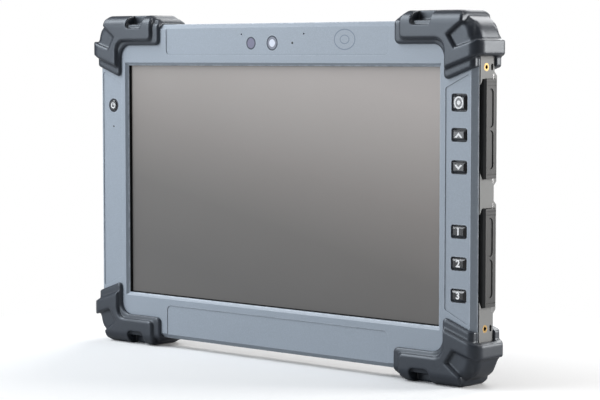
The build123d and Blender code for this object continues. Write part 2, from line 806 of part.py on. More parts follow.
with BuildPart() as bumper_top_right:
    # lower step: an L that lies on the bezel and wraps the corner
    with BuildSketch(at_depth(-bumper_step)) as lower_step:
        with BuildLine():
            Polyline(
                (arm_end, core_top - overrun),
                (arm_end, arm_width),
                (leg_inner, arm_width),
                (leg_inner, leg_reach),
                (core_side + overrun, leg_reach - leg_slant),
                (core_side + overrun, core_top - overrun),
                close=True,
            )
        make_face()
        fillet(corner_of(lower_step, arm_end, core_top - overrun), radius=arm_end_radius)
        fillet(corner_of(lower_step, leg_inner, arm_width), radius=crotch_radius)
        fillet(corner_of(lower_step, leg_inner, leg_reach), radius=tip_radius)
    extrude(amount=bumper_back + bumper_step)
    inner_rim = [
        e for e in bumper_top_right.faces().sort_by(Axis.Y)[0].edges()
        if e.center().X < core_side - 0.1 and e.center().Z < bezel_top - core_top - 0.1
    ]
    chamfer(inner_rim, length=step_edge)
    add(rolled_block(core_side, core_top, -bumper_step, core_radius, core_roll), mode=Mode.INTERSECT)
    add(bumper_pads.part)
    # notch in the arm, open to the top and the front
    with BuildSketch(at_depth(bumper_front)):
        with Locations((slot_middle, bumper_slot_foot - bumper_slot / 2)):
            RectangleRounded(bumper_slot, bumper_slot, bumper_slot_radius)
    cut(bumper_slot_floor)
    with BuildSketch(at_depth(bumper_front)):
        with Locations((slot_middle, bumper_slot_foot - bumper_slot_radius - bumper_slot / 2)):
            Rectangle(bumper_slot, bumper_slot)
    cut(bumper_slot_back - bumper_front)
    # below the side pad the leg folds over the bezel's edge and only a thin flange runs on behind
    with BuildSketch(at_depth(lip_depth)):
        between(half_width, pad_side + 1.0, side_pad_foot + side_pad_radius / 2, leg_reach + 1.0)
    cut(flange_w - lip_depth)
    with BuildSketch(at_depth(bumper_front)):
        between(half_width + 0.4, pad_side + 1.0, side_pad_foot + side_pad_radius / 2, leg_reach + 1.0)
    cut(lip_depth - bumper_front)
    with BuildSketch(at_depth(flange_w)):
        between(half_width + flange_thickness, pad_side + 1.0, side_pad_foot + side_pad_radius / 2,
                leg_reach + 1.0)
        between(half_width, pad_side + 1.0, flange_reach, leg_reach + 1.0)
    cut(bumper_back - flange_w)
    # room for the casing
    add(casing_room(), mode=Mode.SUBTRACT)
    # counterbores for the screws from behind
    with BuildSketch(at_depth(bumper_back)):
        with Locations(*right_screws):
            Circle(screw_head_r + 0.1)
    cut(-screw_head_height - 0.2)
    with BuildSketch(at_depth(bumper_back)):
        with Locations(*right_screws):
            RegularPolygon(screw_r, hole_sides)
    cut(-bumper_rear)
save(bumper_top_right, "bumper_top_right")

half_height_plane = Plane.XY.offset(bezel_top - middle_v)

with BuildPart() as bumper_top_left:
    mirror(bumper_top_right.part, about=Plane.YZ)
save(bumper_top_left, "bumper_top_left")

with BuildPart() as bumper_bottom_right:
    mirror(bumper_top_right.part, about=half_height_plane)
save(bumper_bottom_right, "bumper_bottom_right")

with BuildPart() as bumper_bottom_left:
    mirror(bumper_top_left.part, about=half_height_plane)
save(bumper_bottom_left, "bumper_bottom_left")


# ---------------------------------------------------------------- keys
def collar(hole_width, hole_height, cap_gap):
    """Raised rim of a rubber mat that fills the gap between a key and its hole."""
    RectangleRounded(hole_width - 0.2, hole_height - 0.2, 1.2)
    Rectangle(hole_width - 2 * cap_gap + 2 * run, hole_height - 2 * cap_gap + 2 * run, mode=Mode.SUBTRACT)


with BuildPart() as keypad_mat:
    with BuildSketch(at_depth(key_face)):
        between(
            key_x - key_pocket_half + fit, key_x + key_pocket_half - fit,
            key_pocket_top + fit, key_pocket_foot - fit,
        )
        for v, height in zip(key_vs, key_heights):
            with Locations((key_x, v)):
                Rectangle(key_hole_width - 2 * key_gap + 2 * run, height - 2 * key_gap + 2 * run,
                          mode=Mode.SUBTRACT)
    extrude(amount=mat_thickness)
    for v, height in zip(key_vs, key_heights):
        with BuildSketch(at_depth(collar_recess)):
            with Locations((key_x, v)):
                collar(key_hole_width, height, key_gap)
        extrude(amount=key_face - collar_recess)
save(keypad_mat, "keypad_mat")


def make_key(name, v, hole_height):
    """A hard cap with a bevelled top, a flange under the mat and a stem over its switch."""
    cap_width = key_hole_width - 2 * key_gap
    cap_height = hole_height - 2 * key_gap
    with BuildPart() as key:
        with BuildSketch(at_depth(-key_proud)):
            with Locations((key_x, v)):
                Rectangle(cap_width, cap_height)
        extrude(amount=flange_front + key_proud)
        chamfer(key.faces().sort_by(Axis.Y)[0].edges(), length=key_bevel)
        with BuildSketch(at_depth(flange_front)):
            with Locations((key_x, v)):
                Rectangle(cap_width + 2 * key_flange_edge, cap_height + 2 * key_flange_edge)
        extrude(amount=key_flange)
        with BuildSketch(at_depth(stem_end)):
            with Locations((key_x, v)):
                Rectangle(key_stem, key_stem)
        extrude(amount=flange_front + key_flange - stem_end)
    save(key, name)


for name, v, height in zip(key_names, key_vs, key_heights):
    make_key(name, v, height)

with BuildPart() as key_board:
    with BuildSketch(at_depth(board_front)):
        between(
            key_x - key_pocket_half + 2 * fit, key_x + key_pocket_half - 2 * fit,
            key_pocket_top + 2 * fit, key_pocket_foot - 2 * fit,
        )
    extrude(amount=board_thickness)
save(key_board, "key_board")

with BuildPart() as power_board:
    with BuildSketch(at_depth(board_front)):
        between(
            power_x - key_pocket_half + 2 * fit, power_x + key_pocket_half - 2 * fit,
            power_pocket_top + 2 * fit, power_pocket_foot - 2 * fit,
        )
    extrude(amount=board_thickness)
save(power_board, "power_board")

with BuildPart() as key_switches:
    with BuildSketch(at_depth(board_front)):
        with Locations(*[(key_x, v) for v in key_vs], (power_x, power_v)):
            Rectangle(switch_width, switch_width)
    extrude(amount=-switch_height * switch_body)
    with BuildSketch(at_depth(board_front - switch_height * switch_body)):
        with Locations(*[(key_x, v) for v in key_vs], (power_x, power_v)):
            Rectangle(switch_button, switch_button)
    extrude(amount=-switch_height * (1 - switch_body))
save(key_switches, "key_switches")

with BuildPart() as power_seal:
    with BuildSketch(at_depth(key_face)):
        with Locations((power_x, power_v)):
            Circle(power_hole_r + power_seal_edge)
            Circle(power_hole_r - power_ring + run, mode=Mode.SUBTRACT)
    extrude(amount=mat_thickness)
    with BuildSketch(at_depth(panel_depth)):
        with Locations((power_x, power_v)):
            Circle(power_hole_r - 0.1)
            Circle(power_hole_r - power_ring + run, mode=Mode.SUBTRACT)
    extrude(amount=key_face - panel_depth)
save(power_seal, "power_seal")

with BuildPart() as power_button:
    with BuildSketch(at_depth(-power_proud)):
        with Locations((power_x, power_v)):
            Circle(power_hole_r - power_ring)
    extrude(amount=flange_front + power_proud)
    chamfer(power_button.faces().sort_by(Axis.Y)[0].edges(), length=power_bevel)
    with BuildSketch(at_depth(flange_front)):
        with Locations((power_x, power_v)):
            Circle(power_hole_r - power_ring + power_flange_edge)
    extrude(amount=key_flange)
    with BuildSketch(at_depth(power_stem_end)):
        with Locations((power_x, power_v)):
            Circle(power_stem_r)
    extrude(amount=flange_front + key_flange - power_stem_end)
save(power_button, "power_button")

# ---------------------------------------------------------------- camera strip and lamps
with BuildPart() as light_pipes:
    with BuildSketch(at_depth(panel_depth)):
        with Locations((power_x, lamp_v)):
            Circle(lamp_r - 0.05)
        with Locations((camera_lamp_x, camera_v)):
            Circle(camera_lamp_r - 0.05)
    extrude(amount=board_front - panel_depth)
save(light_pipes, "light_pipes")

with BuildPart() as camera_window:
    with BuildSketch(at_depth(panel_depth)):
        with Locations((0, camera_v)):
            Circle(camera_r - 0.05)
    extrude(amount=lens_window)
save(camera_window, "camera_window")

with BuildPart() as light_sensor_window:
    with BuildSketch(at_depth(panel_depth)):
        with Locations((-sensor_x, camera_v)):
            Circle(sensor_r - 0.05)
    extrude(amount=lens_window)
save(light_sensor_window, "light_sensor_window")

with BuildPart() as camera_module:
    with BuildSketch(at_depth(key_face + 0.9)):
        with Locations((0, camera_v)):
            Rectangle(8.4, 8.4)
    extrude(amount=board_front - key_face - 0.9)
    with BuildSketch(at_depth(panel_depth + lens_window + 0.1)):
        with Locations((0, camera_v)):
            Circle(camera_r - 1.6)
    extrude(amount=key_face + 0.9 - panel_depth - lens_window - 0.1)
save(camera_module, "camera_module")

with BuildPart() as sensor_board:
    with BuildSketch(at_depth(board_front)):
        between(-mic_x - 10.0, mic_x + 10.0, strip_top + 2 * fit, strip_foot - 2 * fit)
    extrude(amount=board_thickness)
    with BuildSketch(at_depth(board_front)):
        with Locations((-sensor_x, camera_v)):
            Rectangle(3.0, 3.0)
    extrude(amount=-1.0)
save(sensor_board, "sensor_board")

with BuildPart() as microphones:
    with BuildSketch(at_depth(board_front)):
        with Locations((-mic_x, mic_v), (mic_x, mic_v)):
            Rectangle(3.8, 2.8)
    extrude(amount=-1.2)
save(microphones, "microphones")

with BuildPart() as reader_antenna:
    with BuildSketch(at_depth(key_face)):
        with Locations((reader_x, (strip_top + strip_foot) / 2)):
            RectangleRounded(reader_width, reader_height, 1.5)
            RectangleRounded(reader_width - 6.0, reader_height - 6.0, 0.8, mode=Mode.SUBTRACT)
    extrude(amount=reader_thickness)
save(reader_antenna, "reader_antenna")

# ---------------------------------------------------------------- port covers and bays
with BuildPart() as port_liners:
    for middle in cover_vs:
        with BuildSketch(from_side(liner_face)):
            bay_outline(middle, frame_front + 0.2)
        extrude(amount=liner_thickness)
    with BuildSketch(from_side(liner_face)):
        port_outlines(fit)
    cut(liner_thickness)
save(port_liners, "port_liners")


def make_cover(name, middle):
    """A hinged cover: bevelled plate and hinge barrel in one section, with finger hollows."""
    with BuildPart() as cover:
        with BuildSketch(across(middle + cover_length / 2)):
            with BuildLine():
                Polyline(
                    (cover_inner, cover_front),
                    (cover_face - cover_corner, cover_front),
                    (cover_face, cover_front + cover_corner),
                    (cover_face, hinge_w),
                    (cover_inner, hinge_w),
                    close=True,
                )
            make_face()
            with Locations((pin_x, hinge_w)):
                Circle(barrel_r)
        extrude(amount=cover_length)
        # two long finger hollows, one after the other, and grooves across the ends
        with BuildSketch(from_side(cover_face)):
            for s in (-1, 1):
                with Locations((hollow_w, middle + s * (hollow_length + hollow_gap) / 2)):
                    RectangleRounded(hollow_width, hollow_length, hollow_width / 2 - 0.2)
        cut(hollow_depth)
        with BuildSketch(from_side(cover_face)):
            for v in groove_vs:
                with Locations((hollow_w + cover_corner, middle + v)):
                    Rectangle(groove_length, groove_width)
        cut(groove_depth)
        with BuildSketch(across(middle + cover_length / 2)):
            with Locations((pin_x, hinge_w)):
                Circle(pin_r + pin_run)
        cut(cover_length)
    save(cover, name)


def make_port_seal(name, middle):
    """Rubber rim on the cover's inner face that closes round the ports."""
    rim_low = cover_front + seal_inset
    rim_high = hinge_w - barrel_r - 0.3
    length = cover_length - 2 * seal_inset
    with BuildPart() as port_seal:
        with BuildSketch(from_side(cover_inner)):
            with Locations(((rim_low + rim_high) / 2, middle)):
                RectangleRounded(rim_high - rim_low, length, 1.5)
                RectangleRounded(
                    rim_high - rim_low - 2 * seal_rim, length - 2 * seal_rim, 0.4, mode=Mode.SUBTRACT
                )
        extrude(amount=seal_thickness)
    save(port_seal, name)


make_cover("port_cover_upper", cover_vs[0])
make_cover("port_cover_lower", cover_vs[1])
make_port_seal("port_seal_upper", cover_vs[0])
make_port_seal("port_seal_lower", cover_vs[1])

with BuildPart() as hinge_pins:
    for middle in cover_vs:
        with BuildSketch(across(middle + bay_half + pin_hold)):
            with Locations((pin_x, hinge_w)):
                Circle(pin_r)
        extrude(amount=2 * (bay_half + pin_hold))
save(hinge_pins, "hinge_pins")

with BuildPart() as side_inserts:
    with BuildSketch(from_side(half_width)):
        with Locations(*[(insert_w, window_v + s * insert_spacing / 2) for s in (-1, 1)]):
            Circle(insert_r)
            Circle(insert_hole_r, mode=Mode.SUBTRACT)
    extrude(amount=insert_length)
save(side_inserts, "side_inserts")

# ---------------------------------------------------------------- ports on their board
with BuildPart() as io_board:
    with BuildSketch(at_depth(io_front)):
        between(io_left, cavity_right - fit, cover_vs[0] - io_board_margin, cover_vs[1] + io_board_margin)
    extrude(amount=io_board_thickness)
save(io_board, "io_board")


def make_port(name, shell, core_height, core_length, bore_r=0):
    """One port standing on its board, with its mouth at the liner's face.

    A bore_r of 0 leaves a rectangular mouth inside the shell, round a contact tongue; otherwise
    the mouth is round, with a centre pin of half the core's height where that isn't 0.
    """
    middle, length, height, depth = ports[name]
    place = (io_rear + height / 2, middle)
    with BuildPart() as port:
        with BuildSketch(from_side(liner_face)):
            with Locations(place):
                Rectangle(height, length)
        extrude(amount=depth)
        with BuildSketch(from_side(liner_face)):
            with Locations(place):
                if bore_r:
                    Circle(bore_r)
                else:
                    Rectangle(height - 2 * shell, length - 2 * shell)
                if core_length:
                    Rectangle(core_height, core_length, mode=Mode.SUBTRACT)
        cut(depth - 1.5)
    save(port, name)


make_port("usb_port", 0.5, 1.9, 11.2)
make_port("usb_c_port", 0.35, 0.7, 6.7)
make_port("audio_jack", 1.0, 0, 0, bore_r=1.8)
make_port("hdmi_port", 0.5, 1.2, 11.4)
make_port("power_jack", 1.0, 1.3, 1.3, bore_r=2.2)

# ---------------------------------------------------------------- main board and what it carries
with BuildPart() as main_board:
    with BuildSketch(at_depth(main_front)):
        between(main_left, main_right, main_board_top, main_board_foot)
        with Locations(*bumper_screw_places, *housing_screw_places):
            RegularPolygon(boss_r + 1.0, hole_sides, mode=Mode.SUBTRACT)
    extrude(amount=board_thickness)
save(main_board, "main_board")

with BuildPart() as processor:
    with BuildSketch(at_depth(main_rear)):
        with Locations((processor_x, processor_v)):
            Rectangle(chip_size, chip_size * 0.8)
    extrude(amount=chip_height)
save(processor, "processor")

with BuildPart() as heat_spreader:
    with BuildSketch(at_depth(main_rear + chip_height)):
        with Locations((processor_x, processor_v)):
            Rectangle(spreader_width, spreader_height)
    extrude(amount=spreader_thickness)
    with BuildSketch(at_depth(main_rear)):
        with Locations((processor_x, processor_v)):
            post_run = spreader_width - 2 * spreader_post
            post_rise = spreader_height - 2 * spreader_post
            with GridLocations(post_run, post_rise, 2, 2):
                Rectangle(spreader_post, spreader_post)
    extrude(amount=chip_height)
save(heat_spreader, "heat_spreader")

with BuildPart() as storage_card:
    with BuildSketch(at_depth(main_rear)):
        with Locations((main_left + card_from_end + card_width / 2, card_v)):
            Rectangle(card_width, card_height)
    extrude(amount=card_thickness)
save(storage_card, "storage_card")

with BuildPart() as antennas:
    with BuildSketch(at_depth(plate_rear)):
        with Locations((-antenna_x, antenna_v), (antenna_x, antenna_v)):
            Rectangle(antenna_length, antenna_height)
    extrude(amount=board_thickness)
    with BuildSketch(at_depth(main_rear)):
        with Locations((main_left + radio_from_end, radio_v)):
            Rectangle(radio_size, radio_size)
    extrude(amount=radio_thickness)
save(antennas, "antennas")

with BuildPart() as rear_camera_module:
    with BuildSketch(at_depth(main_rear)):
        with Locations((rear_camera_x, rear_camera_v)):
            Rectangle(9.0, 9.0)
    extrude(amount=housing_inner - main_rear - 0.3)
save(rear_camera_module, "rear_camera_module")

with BuildPart() as rear_camera_window:
    with BuildSketch(at_depth(body_rear - 0.2)):
        with Locations((rear_camera_x, rear_camera_v)):
            Circle(rear_camera_r - 0.05)
    extrude(amount=-lens_window)
save(rear_camera_window, "rear_camera_window")

with BuildPart() as speakers:
    with BuildSketch(at_depth(housing_inner)):
        with Locations((-speaker_x, speaker_v), (speaker_x, speaker_v)):
            RectangleRounded(speaker_width, speaker_height, 2.0)
    extrude(amount=-speaker_depth)
save(speakers, "speakers")

with BuildPart() as dock_connector:
    with BuildSketch(across(bezel_height - 0.1)):
        with Locations((0, plate_rear + 0.3 + dock_height / 2)):
            Rectangle(dock_width, dock_height)
    extrude(amount=dock_depth)
    # two rows of contact wells
    with BuildSketch(across(bezel_height - 0.1)):
        with Locations((0, plate_rear + 0.3 + dock_height / 2)):
            with GridLocations(contact_pitch, contact_rows, contacts, 2):
                Rectangle(contact_width, contact_width)
    cut(0.5)
save(dock_connector, "dock_connector")

# ---------------------------------------------------------------- battery and its latches
with BuildPart() as battery_pack:
    with BuildSketch(at_depth(plate_rear + 0.3)):
        with Locations((0, battery_v)):
            RectangleRounded(battery_width - 2 * fit, battery_height - 2 * fit, battery_corner)
    extrude(amount=body_rear - battery_proud - plate_rear - 0.3)
    for side in (-1, 1):
        with BuildSketch(at_depth(tongue_front - 0.3)):
            with Locations((side * (battery_width / 2 - latch_tongue / 2 - 0.1), battery_v)):
                Rectangle(latch_tongue + 0.6, latch_height)
        cut(tongue_rear - tongue_front + 0.6)
    # contact well that takes the connector's blade
    with BuildSketch(at_depth(main_rear - 0.2)):
        with Locations((0, battery_inner_v + connector_reach / 2)):
            Rectangle(connector_width + 4 * fit, connector_reach + 4 * fit)
    cut(connector_height + 4 * fit)
    # shallow finger hollow on the outer face
    with BuildSketch(at_depth(body_rear - battery_proud)):
        with Locations((0, battery_inner_v + battery_hollow_width)):
            SlotOverall(battery_hollow_length, battery_hollow_width)
    cut(-battery_hollow_depth)
save(battery_pack, "battery_pack")

with BuildPart() as battery_connector:
    with BuildSketch(at_depth(main_rear)):
        between(-connector_width / 2, connector_width / 2, main_board_foot - stand_from_foot,
                battery_inner_v + connector_reach)
    extrude(amount=connector_height)
save(battery_connector, "battery_connector")


def make_latch(name, side):
    """Slider with ribs outside, a neck through the housing and a tongue that holds the battery."""
    with BuildPart() as latch:
        with BuildSketch(at_depth(latch_back)):
            with Locations((side * latch_x, battery_v)):
                RectangleRounded(latch_length, latch_height, 0.8)
        extrude(amount=latch_thickness)
        with BuildSketch(at_depth(latch_face)):
            with Locations((side * latch_x, battery_v)):
                with GridLocations(2.0, 0, 4, 1):
                    Rectangle(0.8, latch_height - 2.0)
        cut(-0.4)
        with BuildSketch(at_depth(tongue_rear)):
            with Locations((side * latch_x, battery_v)):
                Rectangle(4.0, 4.0)
        extrude(amount=latch_back - tongue_rear)
        tip = side * (battery_width / 2 - latch_tongue)
        tail = side * (latch_x + 4.0)
        with BuildSketch(at_depth(tongue_front)):
            between(min(tip, tail), max(tip, tail), battery_v - latch_height / 2 + 0.5,
                    battery_v + latch_height / 2 - 0.5)
        extrude(amount=tongue_rear - tongue_front)
    save(latch, name)


make_latch("battery_latch_left", -1)
make_latch("battery_latch_right", 1)

# ---------------------------------------------------------------- inserts and screws
with BuildPart() as rear_inserts:
    with BuildSketch(at_depth(body_rear)):
        with Locations(*rear_insert_places):
            Circle(rear_insert_r)
            Circle(rear_insert_hole_r, mode=Mode.SUBTRACT)
    extrude(amount=-rear_insert_length)
save(rear_inserts, "rear_inserts")


def make_screws(name, places, head_front):
    """Pan-head screws with a cross slot, driven in from behind."""
    with BuildPart() as screws:
        with BuildSketch(at_depth(head_front)):
            with Locations(*places):
                Circle(screw_head_r)
        extrude(amount=screw_head_height)
        with BuildSketch(at_depth(head_front)):
            with Locations(*places):
                RegularPolygon(screw_r, hole_sides)
        extrude(amount=-screw_length + screw_head_height)
    save(screws, name)


make_screws("bumper_screws", bumper_screw_places, body_rear + bumper_rear - screw_head_height - 0.2)
make_screws("housing_screws", housing_screw_places, body_rear - screw_head_height)
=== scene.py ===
"""Looks of the rugged tablet data collector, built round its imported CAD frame."""
from math import cos, pi, radians, sin

import bmesh
import bpy
import numpy as np
from mathutils import Matrix, Vector


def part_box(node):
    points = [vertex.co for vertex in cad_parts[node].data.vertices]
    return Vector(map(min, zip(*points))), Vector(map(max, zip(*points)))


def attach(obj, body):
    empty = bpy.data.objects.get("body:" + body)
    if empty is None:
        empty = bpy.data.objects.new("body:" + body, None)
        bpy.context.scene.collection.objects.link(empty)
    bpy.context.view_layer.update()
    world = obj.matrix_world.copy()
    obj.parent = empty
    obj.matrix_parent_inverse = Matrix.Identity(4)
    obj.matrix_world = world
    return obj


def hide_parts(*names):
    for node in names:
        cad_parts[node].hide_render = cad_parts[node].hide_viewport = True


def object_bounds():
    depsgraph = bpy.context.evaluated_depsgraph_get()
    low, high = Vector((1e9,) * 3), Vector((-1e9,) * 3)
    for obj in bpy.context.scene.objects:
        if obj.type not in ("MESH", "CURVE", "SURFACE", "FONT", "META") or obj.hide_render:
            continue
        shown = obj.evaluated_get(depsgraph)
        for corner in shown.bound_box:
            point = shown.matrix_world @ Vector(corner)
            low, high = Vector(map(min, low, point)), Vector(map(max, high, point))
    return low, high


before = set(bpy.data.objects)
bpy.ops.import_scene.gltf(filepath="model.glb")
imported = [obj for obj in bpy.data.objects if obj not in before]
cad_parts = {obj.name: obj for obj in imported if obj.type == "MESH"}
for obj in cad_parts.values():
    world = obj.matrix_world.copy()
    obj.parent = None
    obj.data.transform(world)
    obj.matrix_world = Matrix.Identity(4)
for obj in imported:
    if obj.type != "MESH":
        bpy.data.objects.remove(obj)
cad_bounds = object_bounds()

MM = 0.001
TABLET = "tablet"           # the body that carries everything fixed
CORNERS = ("top_left", "top_right", "bottom_left", "bottom_right")
KEYS = ("home_key", "up_key", "down_key", "function_key_1", "function_key_2", "function_key_3")

# ---------------------------------------------------------------- places read from the frame
LIP_LOW, LIP_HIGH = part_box("display_gasket")
LIP_MARGIN = 5.0 * MM       # from the gasket's outer edge to the edge of the window over the display
WINDOW_LOW = Vector((LIP_LOW.x + LIP_MARGIN, 0, LIP_LOW.z + LIP_MARGIN))
WINDOW_HIGH = Vector((LIP_HIGH.x - LIP_MARGIN, 0, LIP_HIGH.z - LIP_MARGIN))
FACE_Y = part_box("front_bezel")[0].y
PANEL_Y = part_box("camera_window")[0].y      # front of the camera strip and of the windows in it
MIDDLE_Z = (cad_bounds[0][2] + cad_bounds[1][2]) / 2


# ---------------------------------------------------------------- shader nodes
MIX_INPUTS = (0, 6, 7)      # the factor and the two colours among a Mix node's inputs
MIX_RESULT = 2              # and the colour among its outputs


def rgba(colour):
    return (*colour, 1.0)


def feed(tree, socket, value):
    """Give a socket a plain value, or link it to another node's output."""
    if isinstance(value, (int, float, tuple)):
        socket.default_value = value
    else:
        tree.links.new(value, socket)


def math_node(tree, operation, a, b):
    node = tree.nodes.new("ShaderNodeMath")
    node.operation = operation
    feed(tree, node.inputs[0], a)
    feed(tree, node.inputs[1], b)
    return node.outputs[0]


def map_range(tree, value, low, high, to_low=0.0, to_high=1.0):
    """A value carried from one range to another, and kept inside it."""
    node = tree.nodes.new("ShaderNodeMapRange")
    node.clamp = True
    names = ("Value", "From Min", "From Max", "To Min", "To Max")
    for name, number in zip(names, (value, low, high, to_low, to_high)):
        feed(tree, node.inputs[name], number)
    return node.outputs["Result"]


def noise(tree, coordinates, scale, *, detail, roughness):
    node = tree.nodes.new("ShaderNodeTexNoise")
    values = {"Vector": coordinates, "Scale": scale, "Detail": detail, "Roughness": roughness}
    for name, value in values.items():
        feed(tree, node.inputs[name], value)
    return node.outputs["Fac"]


def object_coordinates(tree):
    return tree.nodes.new("ShaderNodeTexCoord").outputs["Object"]


def mix_colour(tree, factor, a, b):
    node = tree.nodes.new("ShaderNodeMix")
    node.data_type = "RGBA"
    for index, value in zip(MIX_INPUTS, (factor, a, b)):
        feed(tree, node.inputs[index], value)
    return node.outputs[MIX_RESULT]


# ---------------------------------------------------------------- shader groups
GRAIN_SCALE = 2600.0
FINE_GRAIN = 5200.0         # of glass and clear plastic
GRAIN_COARSE = 0.23         # scale of the coarse grain against the fine
GRAIN_COARSE_HEIGHT = 0.6   # and its height
GRAIN_HIGH = (0.45, 0.62)   # noise from which a spot starts to be high, and at which it is
HANDLING_SCALE = 24.0
PATCH_EDGE = (0.38, 0.72)   # noise over which a handled patch comes up
SPECK_SCALE = 22.0          # scale of its specks against the patches
SPECK_EDGE = (0.62, 0.74)
SPECK_SHARE = 0.2
EDGE_SAMPLES = 6            # rays that look for an edge or a hollow
# edges lighten partly as rubbed wear and partly as painted highlight; this is how far the look for an
# edge reaches
WEAR_HIGHLIGHT_RADIUS = 0.0006
WEAR_HIGHLIGHT_EDGE = (0.85, 0.55)    # open share at which an edge starts to lighten, as wear and painted highlight, and at which it is fully lightened
WEAR_HIGHLIGHT_BREAK_SCALE = 260.0
WEAR_HIGHLIGHT_BREAK = (0.35, 0.7)    # noise that breaks the worn and highlit line up
# painted shade in hollows: how far it looks for walls round a spot, the open share at which it is
# darkest, and the one above which it stops
PAINTED_SHADE_REACH = 0.003
PAINTED_SHADE_DEEP = 0.45          # share of open view at which a spot is at its darkest
PAINTED_SHADE_OPEN = 0.94          # and above which it counts as out in the open


def new_group(name, inputs, outputs):
    """An empty shader group with named number sockets, and its two end nodes."""
    group = bpy.data.node_groups.new(name, "ShaderNodeTree")
    kind = "NodeSocketFloat"
    for label, value in inputs.items():
        socket = group.interface.new_socket(name=label, in_out="INPUT", socket_type=kind)
        socket.default_value = value
    for label in outputs:
        group.interface.new_socket(name=label, in_out="OUTPUT", socket_type=kind)
    return group, group.nodes.new("NodeGroupInput"), group.nodes.new("NodeGroupOutput")


def open_view(group, distance):
    """A node that looks how open the view round a spot is, on the piece itself."""
    view = group.nodes.new("ShaderNodeAmbientOcclusion")
    view.samples = EDGE_SAMPLES
    view.only_local = True
    group.links.new(distance, view.inputs["Distance"])
    return view


def put_out_mask(group, source, sink, mask):
    """Send a mask out of its group, as strong as the group's Amount says."""
    strength = math_node(group, "MULTIPLY", mask, source.outputs["Amount"])
    group.links.new(strength, sink.inputs["Mask"])


def build_moulded_grain():
    """Fine spark-eroded grain: a height for bump and a mask of its high spots."""
    group, source, sink = new_group("Moulded Grain", {"Scale": GRAIN_SCALE}, ["Height", "Mask"])
    place = object_coordinates(group)
    fine = noise(group, place, source.outputs["Scale"], detail=3.0, roughness=0.6)
    coarse_scale = math_node(group, "MULTIPLY", source.outputs["Scale"], GRAIN_COARSE)
    coarse = noise(group, place, coarse_scale, detail=2.0, roughness=0.5)
    coarse_height = math_node(group, "MULTIPLY", coarse, GRAIN_COARSE_HEIGHT)
    group.links.new(math_node(group, "ADD", fine, coarse_height), sink.inputs["Height"])
    group.links.new(map_range(group, fine, *GRAIN_HIGH), sink.inputs["Mask"])
    return group


def build_handling_marks():
    """Broad uneven patches from handling and dust, with a few specks."""
    group, source, sink = new_group(
        "Handling Marks", {"Scale": HANDLING_SCALE, "Amount": 0.5}, ["Mask"])
    place = object_coordinates(group)
    broad = noise(group, place, source.outputs["Scale"], detail=4.0, roughness=0.6)
    speck_scale = math_node(group, "MULTIPLY", source.outputs["Scale"], SPECK_SCALE)
    specks = noise(group, place, speck_scale, detail=2.0, roughness=0.7)
    broad = map_range(group, broad, *PATCH_EDGE)
    specks = math_node(group, "MULTIPLY", map_range(group, specks, *SPECK_EDGE), SPECK_SHARE)
    put_out_mask(group, source, sink, math_node(group, "ADD", broad, specks))
    return group


def build_edge_wear():
    """Mask of the lightened outer edges, partly rubbed wear and partly painted highlight, broken up by
    noise.
    """
    group, source, sink = new_group("Edge Wear and Highlight", {"Radius": WEAR_HIGHLIGHT_RADIUS, "Amount": 0.5}, ["Mask"])
    rim = open_view(group, source.outputs["Radius"])
    rim.inside = True
    edge = map_range(group, rim.outputs["AO"], *WEAR_HIGHLIGHT_EDGE)
    place = object_coordinates(group)
    speckle = noise(group, place, WEAR_HIGHLIGHT_BREAK_SCALE, detail=4.0, roughness=0.65)
    broken = map_range(group, speckle, *WEAR_HIGHLIGHT_BREAK)
    put_out_mask(group, source, sink, math_node(group, "MULTIPLY", edge, broken))
    return group


def build_hollows():
    """Mask of painted shade in narrow grooves, inner corners and bores, strongest where the view round a
    spot is most closed.
    """
    group, source, sink = new_group(
        "Painted Hollow Shade",
        {"Reach": PAINTED_SHADE_REACH, "Deep": PAINTED_SHADE_DEEP, "Open": PAINTED_SHADE_OPEN, "Amount": 0.8}, ["Mask"])
    painted_hollow_shade = open_view(group, source.outputs["Reach"])
    shade_mask = map_range(group, painted_hollow_shade.outputs["AO"], source.outputs["Deep"], source.outputs["Open"],
                     1.0, 0.0)
    put_out_mask(group, source, sink, shade_mask)
    return group


GRAIN = build_moulded_grain()
PAINTED_SHADE_GROUP = build_hollows()
HANDLING = build_handling_marks()
EDGE_WEAR_AND_HIGHLIGHT = build_edge_wear()


def place_group(tree, group, **values):
    """A group's node in a material; a value that isn't given is the group's own."""
    node = tree.nodes.new("ShaderNodeGroup")
    node.node_tree = group
    for name, value in values.items():
        node.inputs[name].default_value = value
    return node


# ---------------------------------------------------------------- materials
DUST_GAIN = 1.12            # dust lightens a colour by this factor
DUST_LIFT = 0.01            # and adds this
PAINTED_SHADE_SHARE = 0.12         # share of the colour that the painted shade leaves in the darkest hollow


def new_material(name):
    """A new material, its node tree and its shader."""
    material = bpy.data.materials.new(name)
    material.use_nodes = True
    return material, material.node_tree, material.node_tree.nodes["Principled BSDF"]


def add_grain_bump(tree, shader, grain_node, height):
    """Bump from the grain; height is in mm."""
    bump = tree.nodes.new("ShaderNodeBump")
    bump.inputs["Distance"].default_value = height * MM
    tree.links.new(grain_node.outputs["Height"], bump.inputs["Height"])
    tree.links.new(bump.outputs["Normal"], shader.inputs["Normal"])


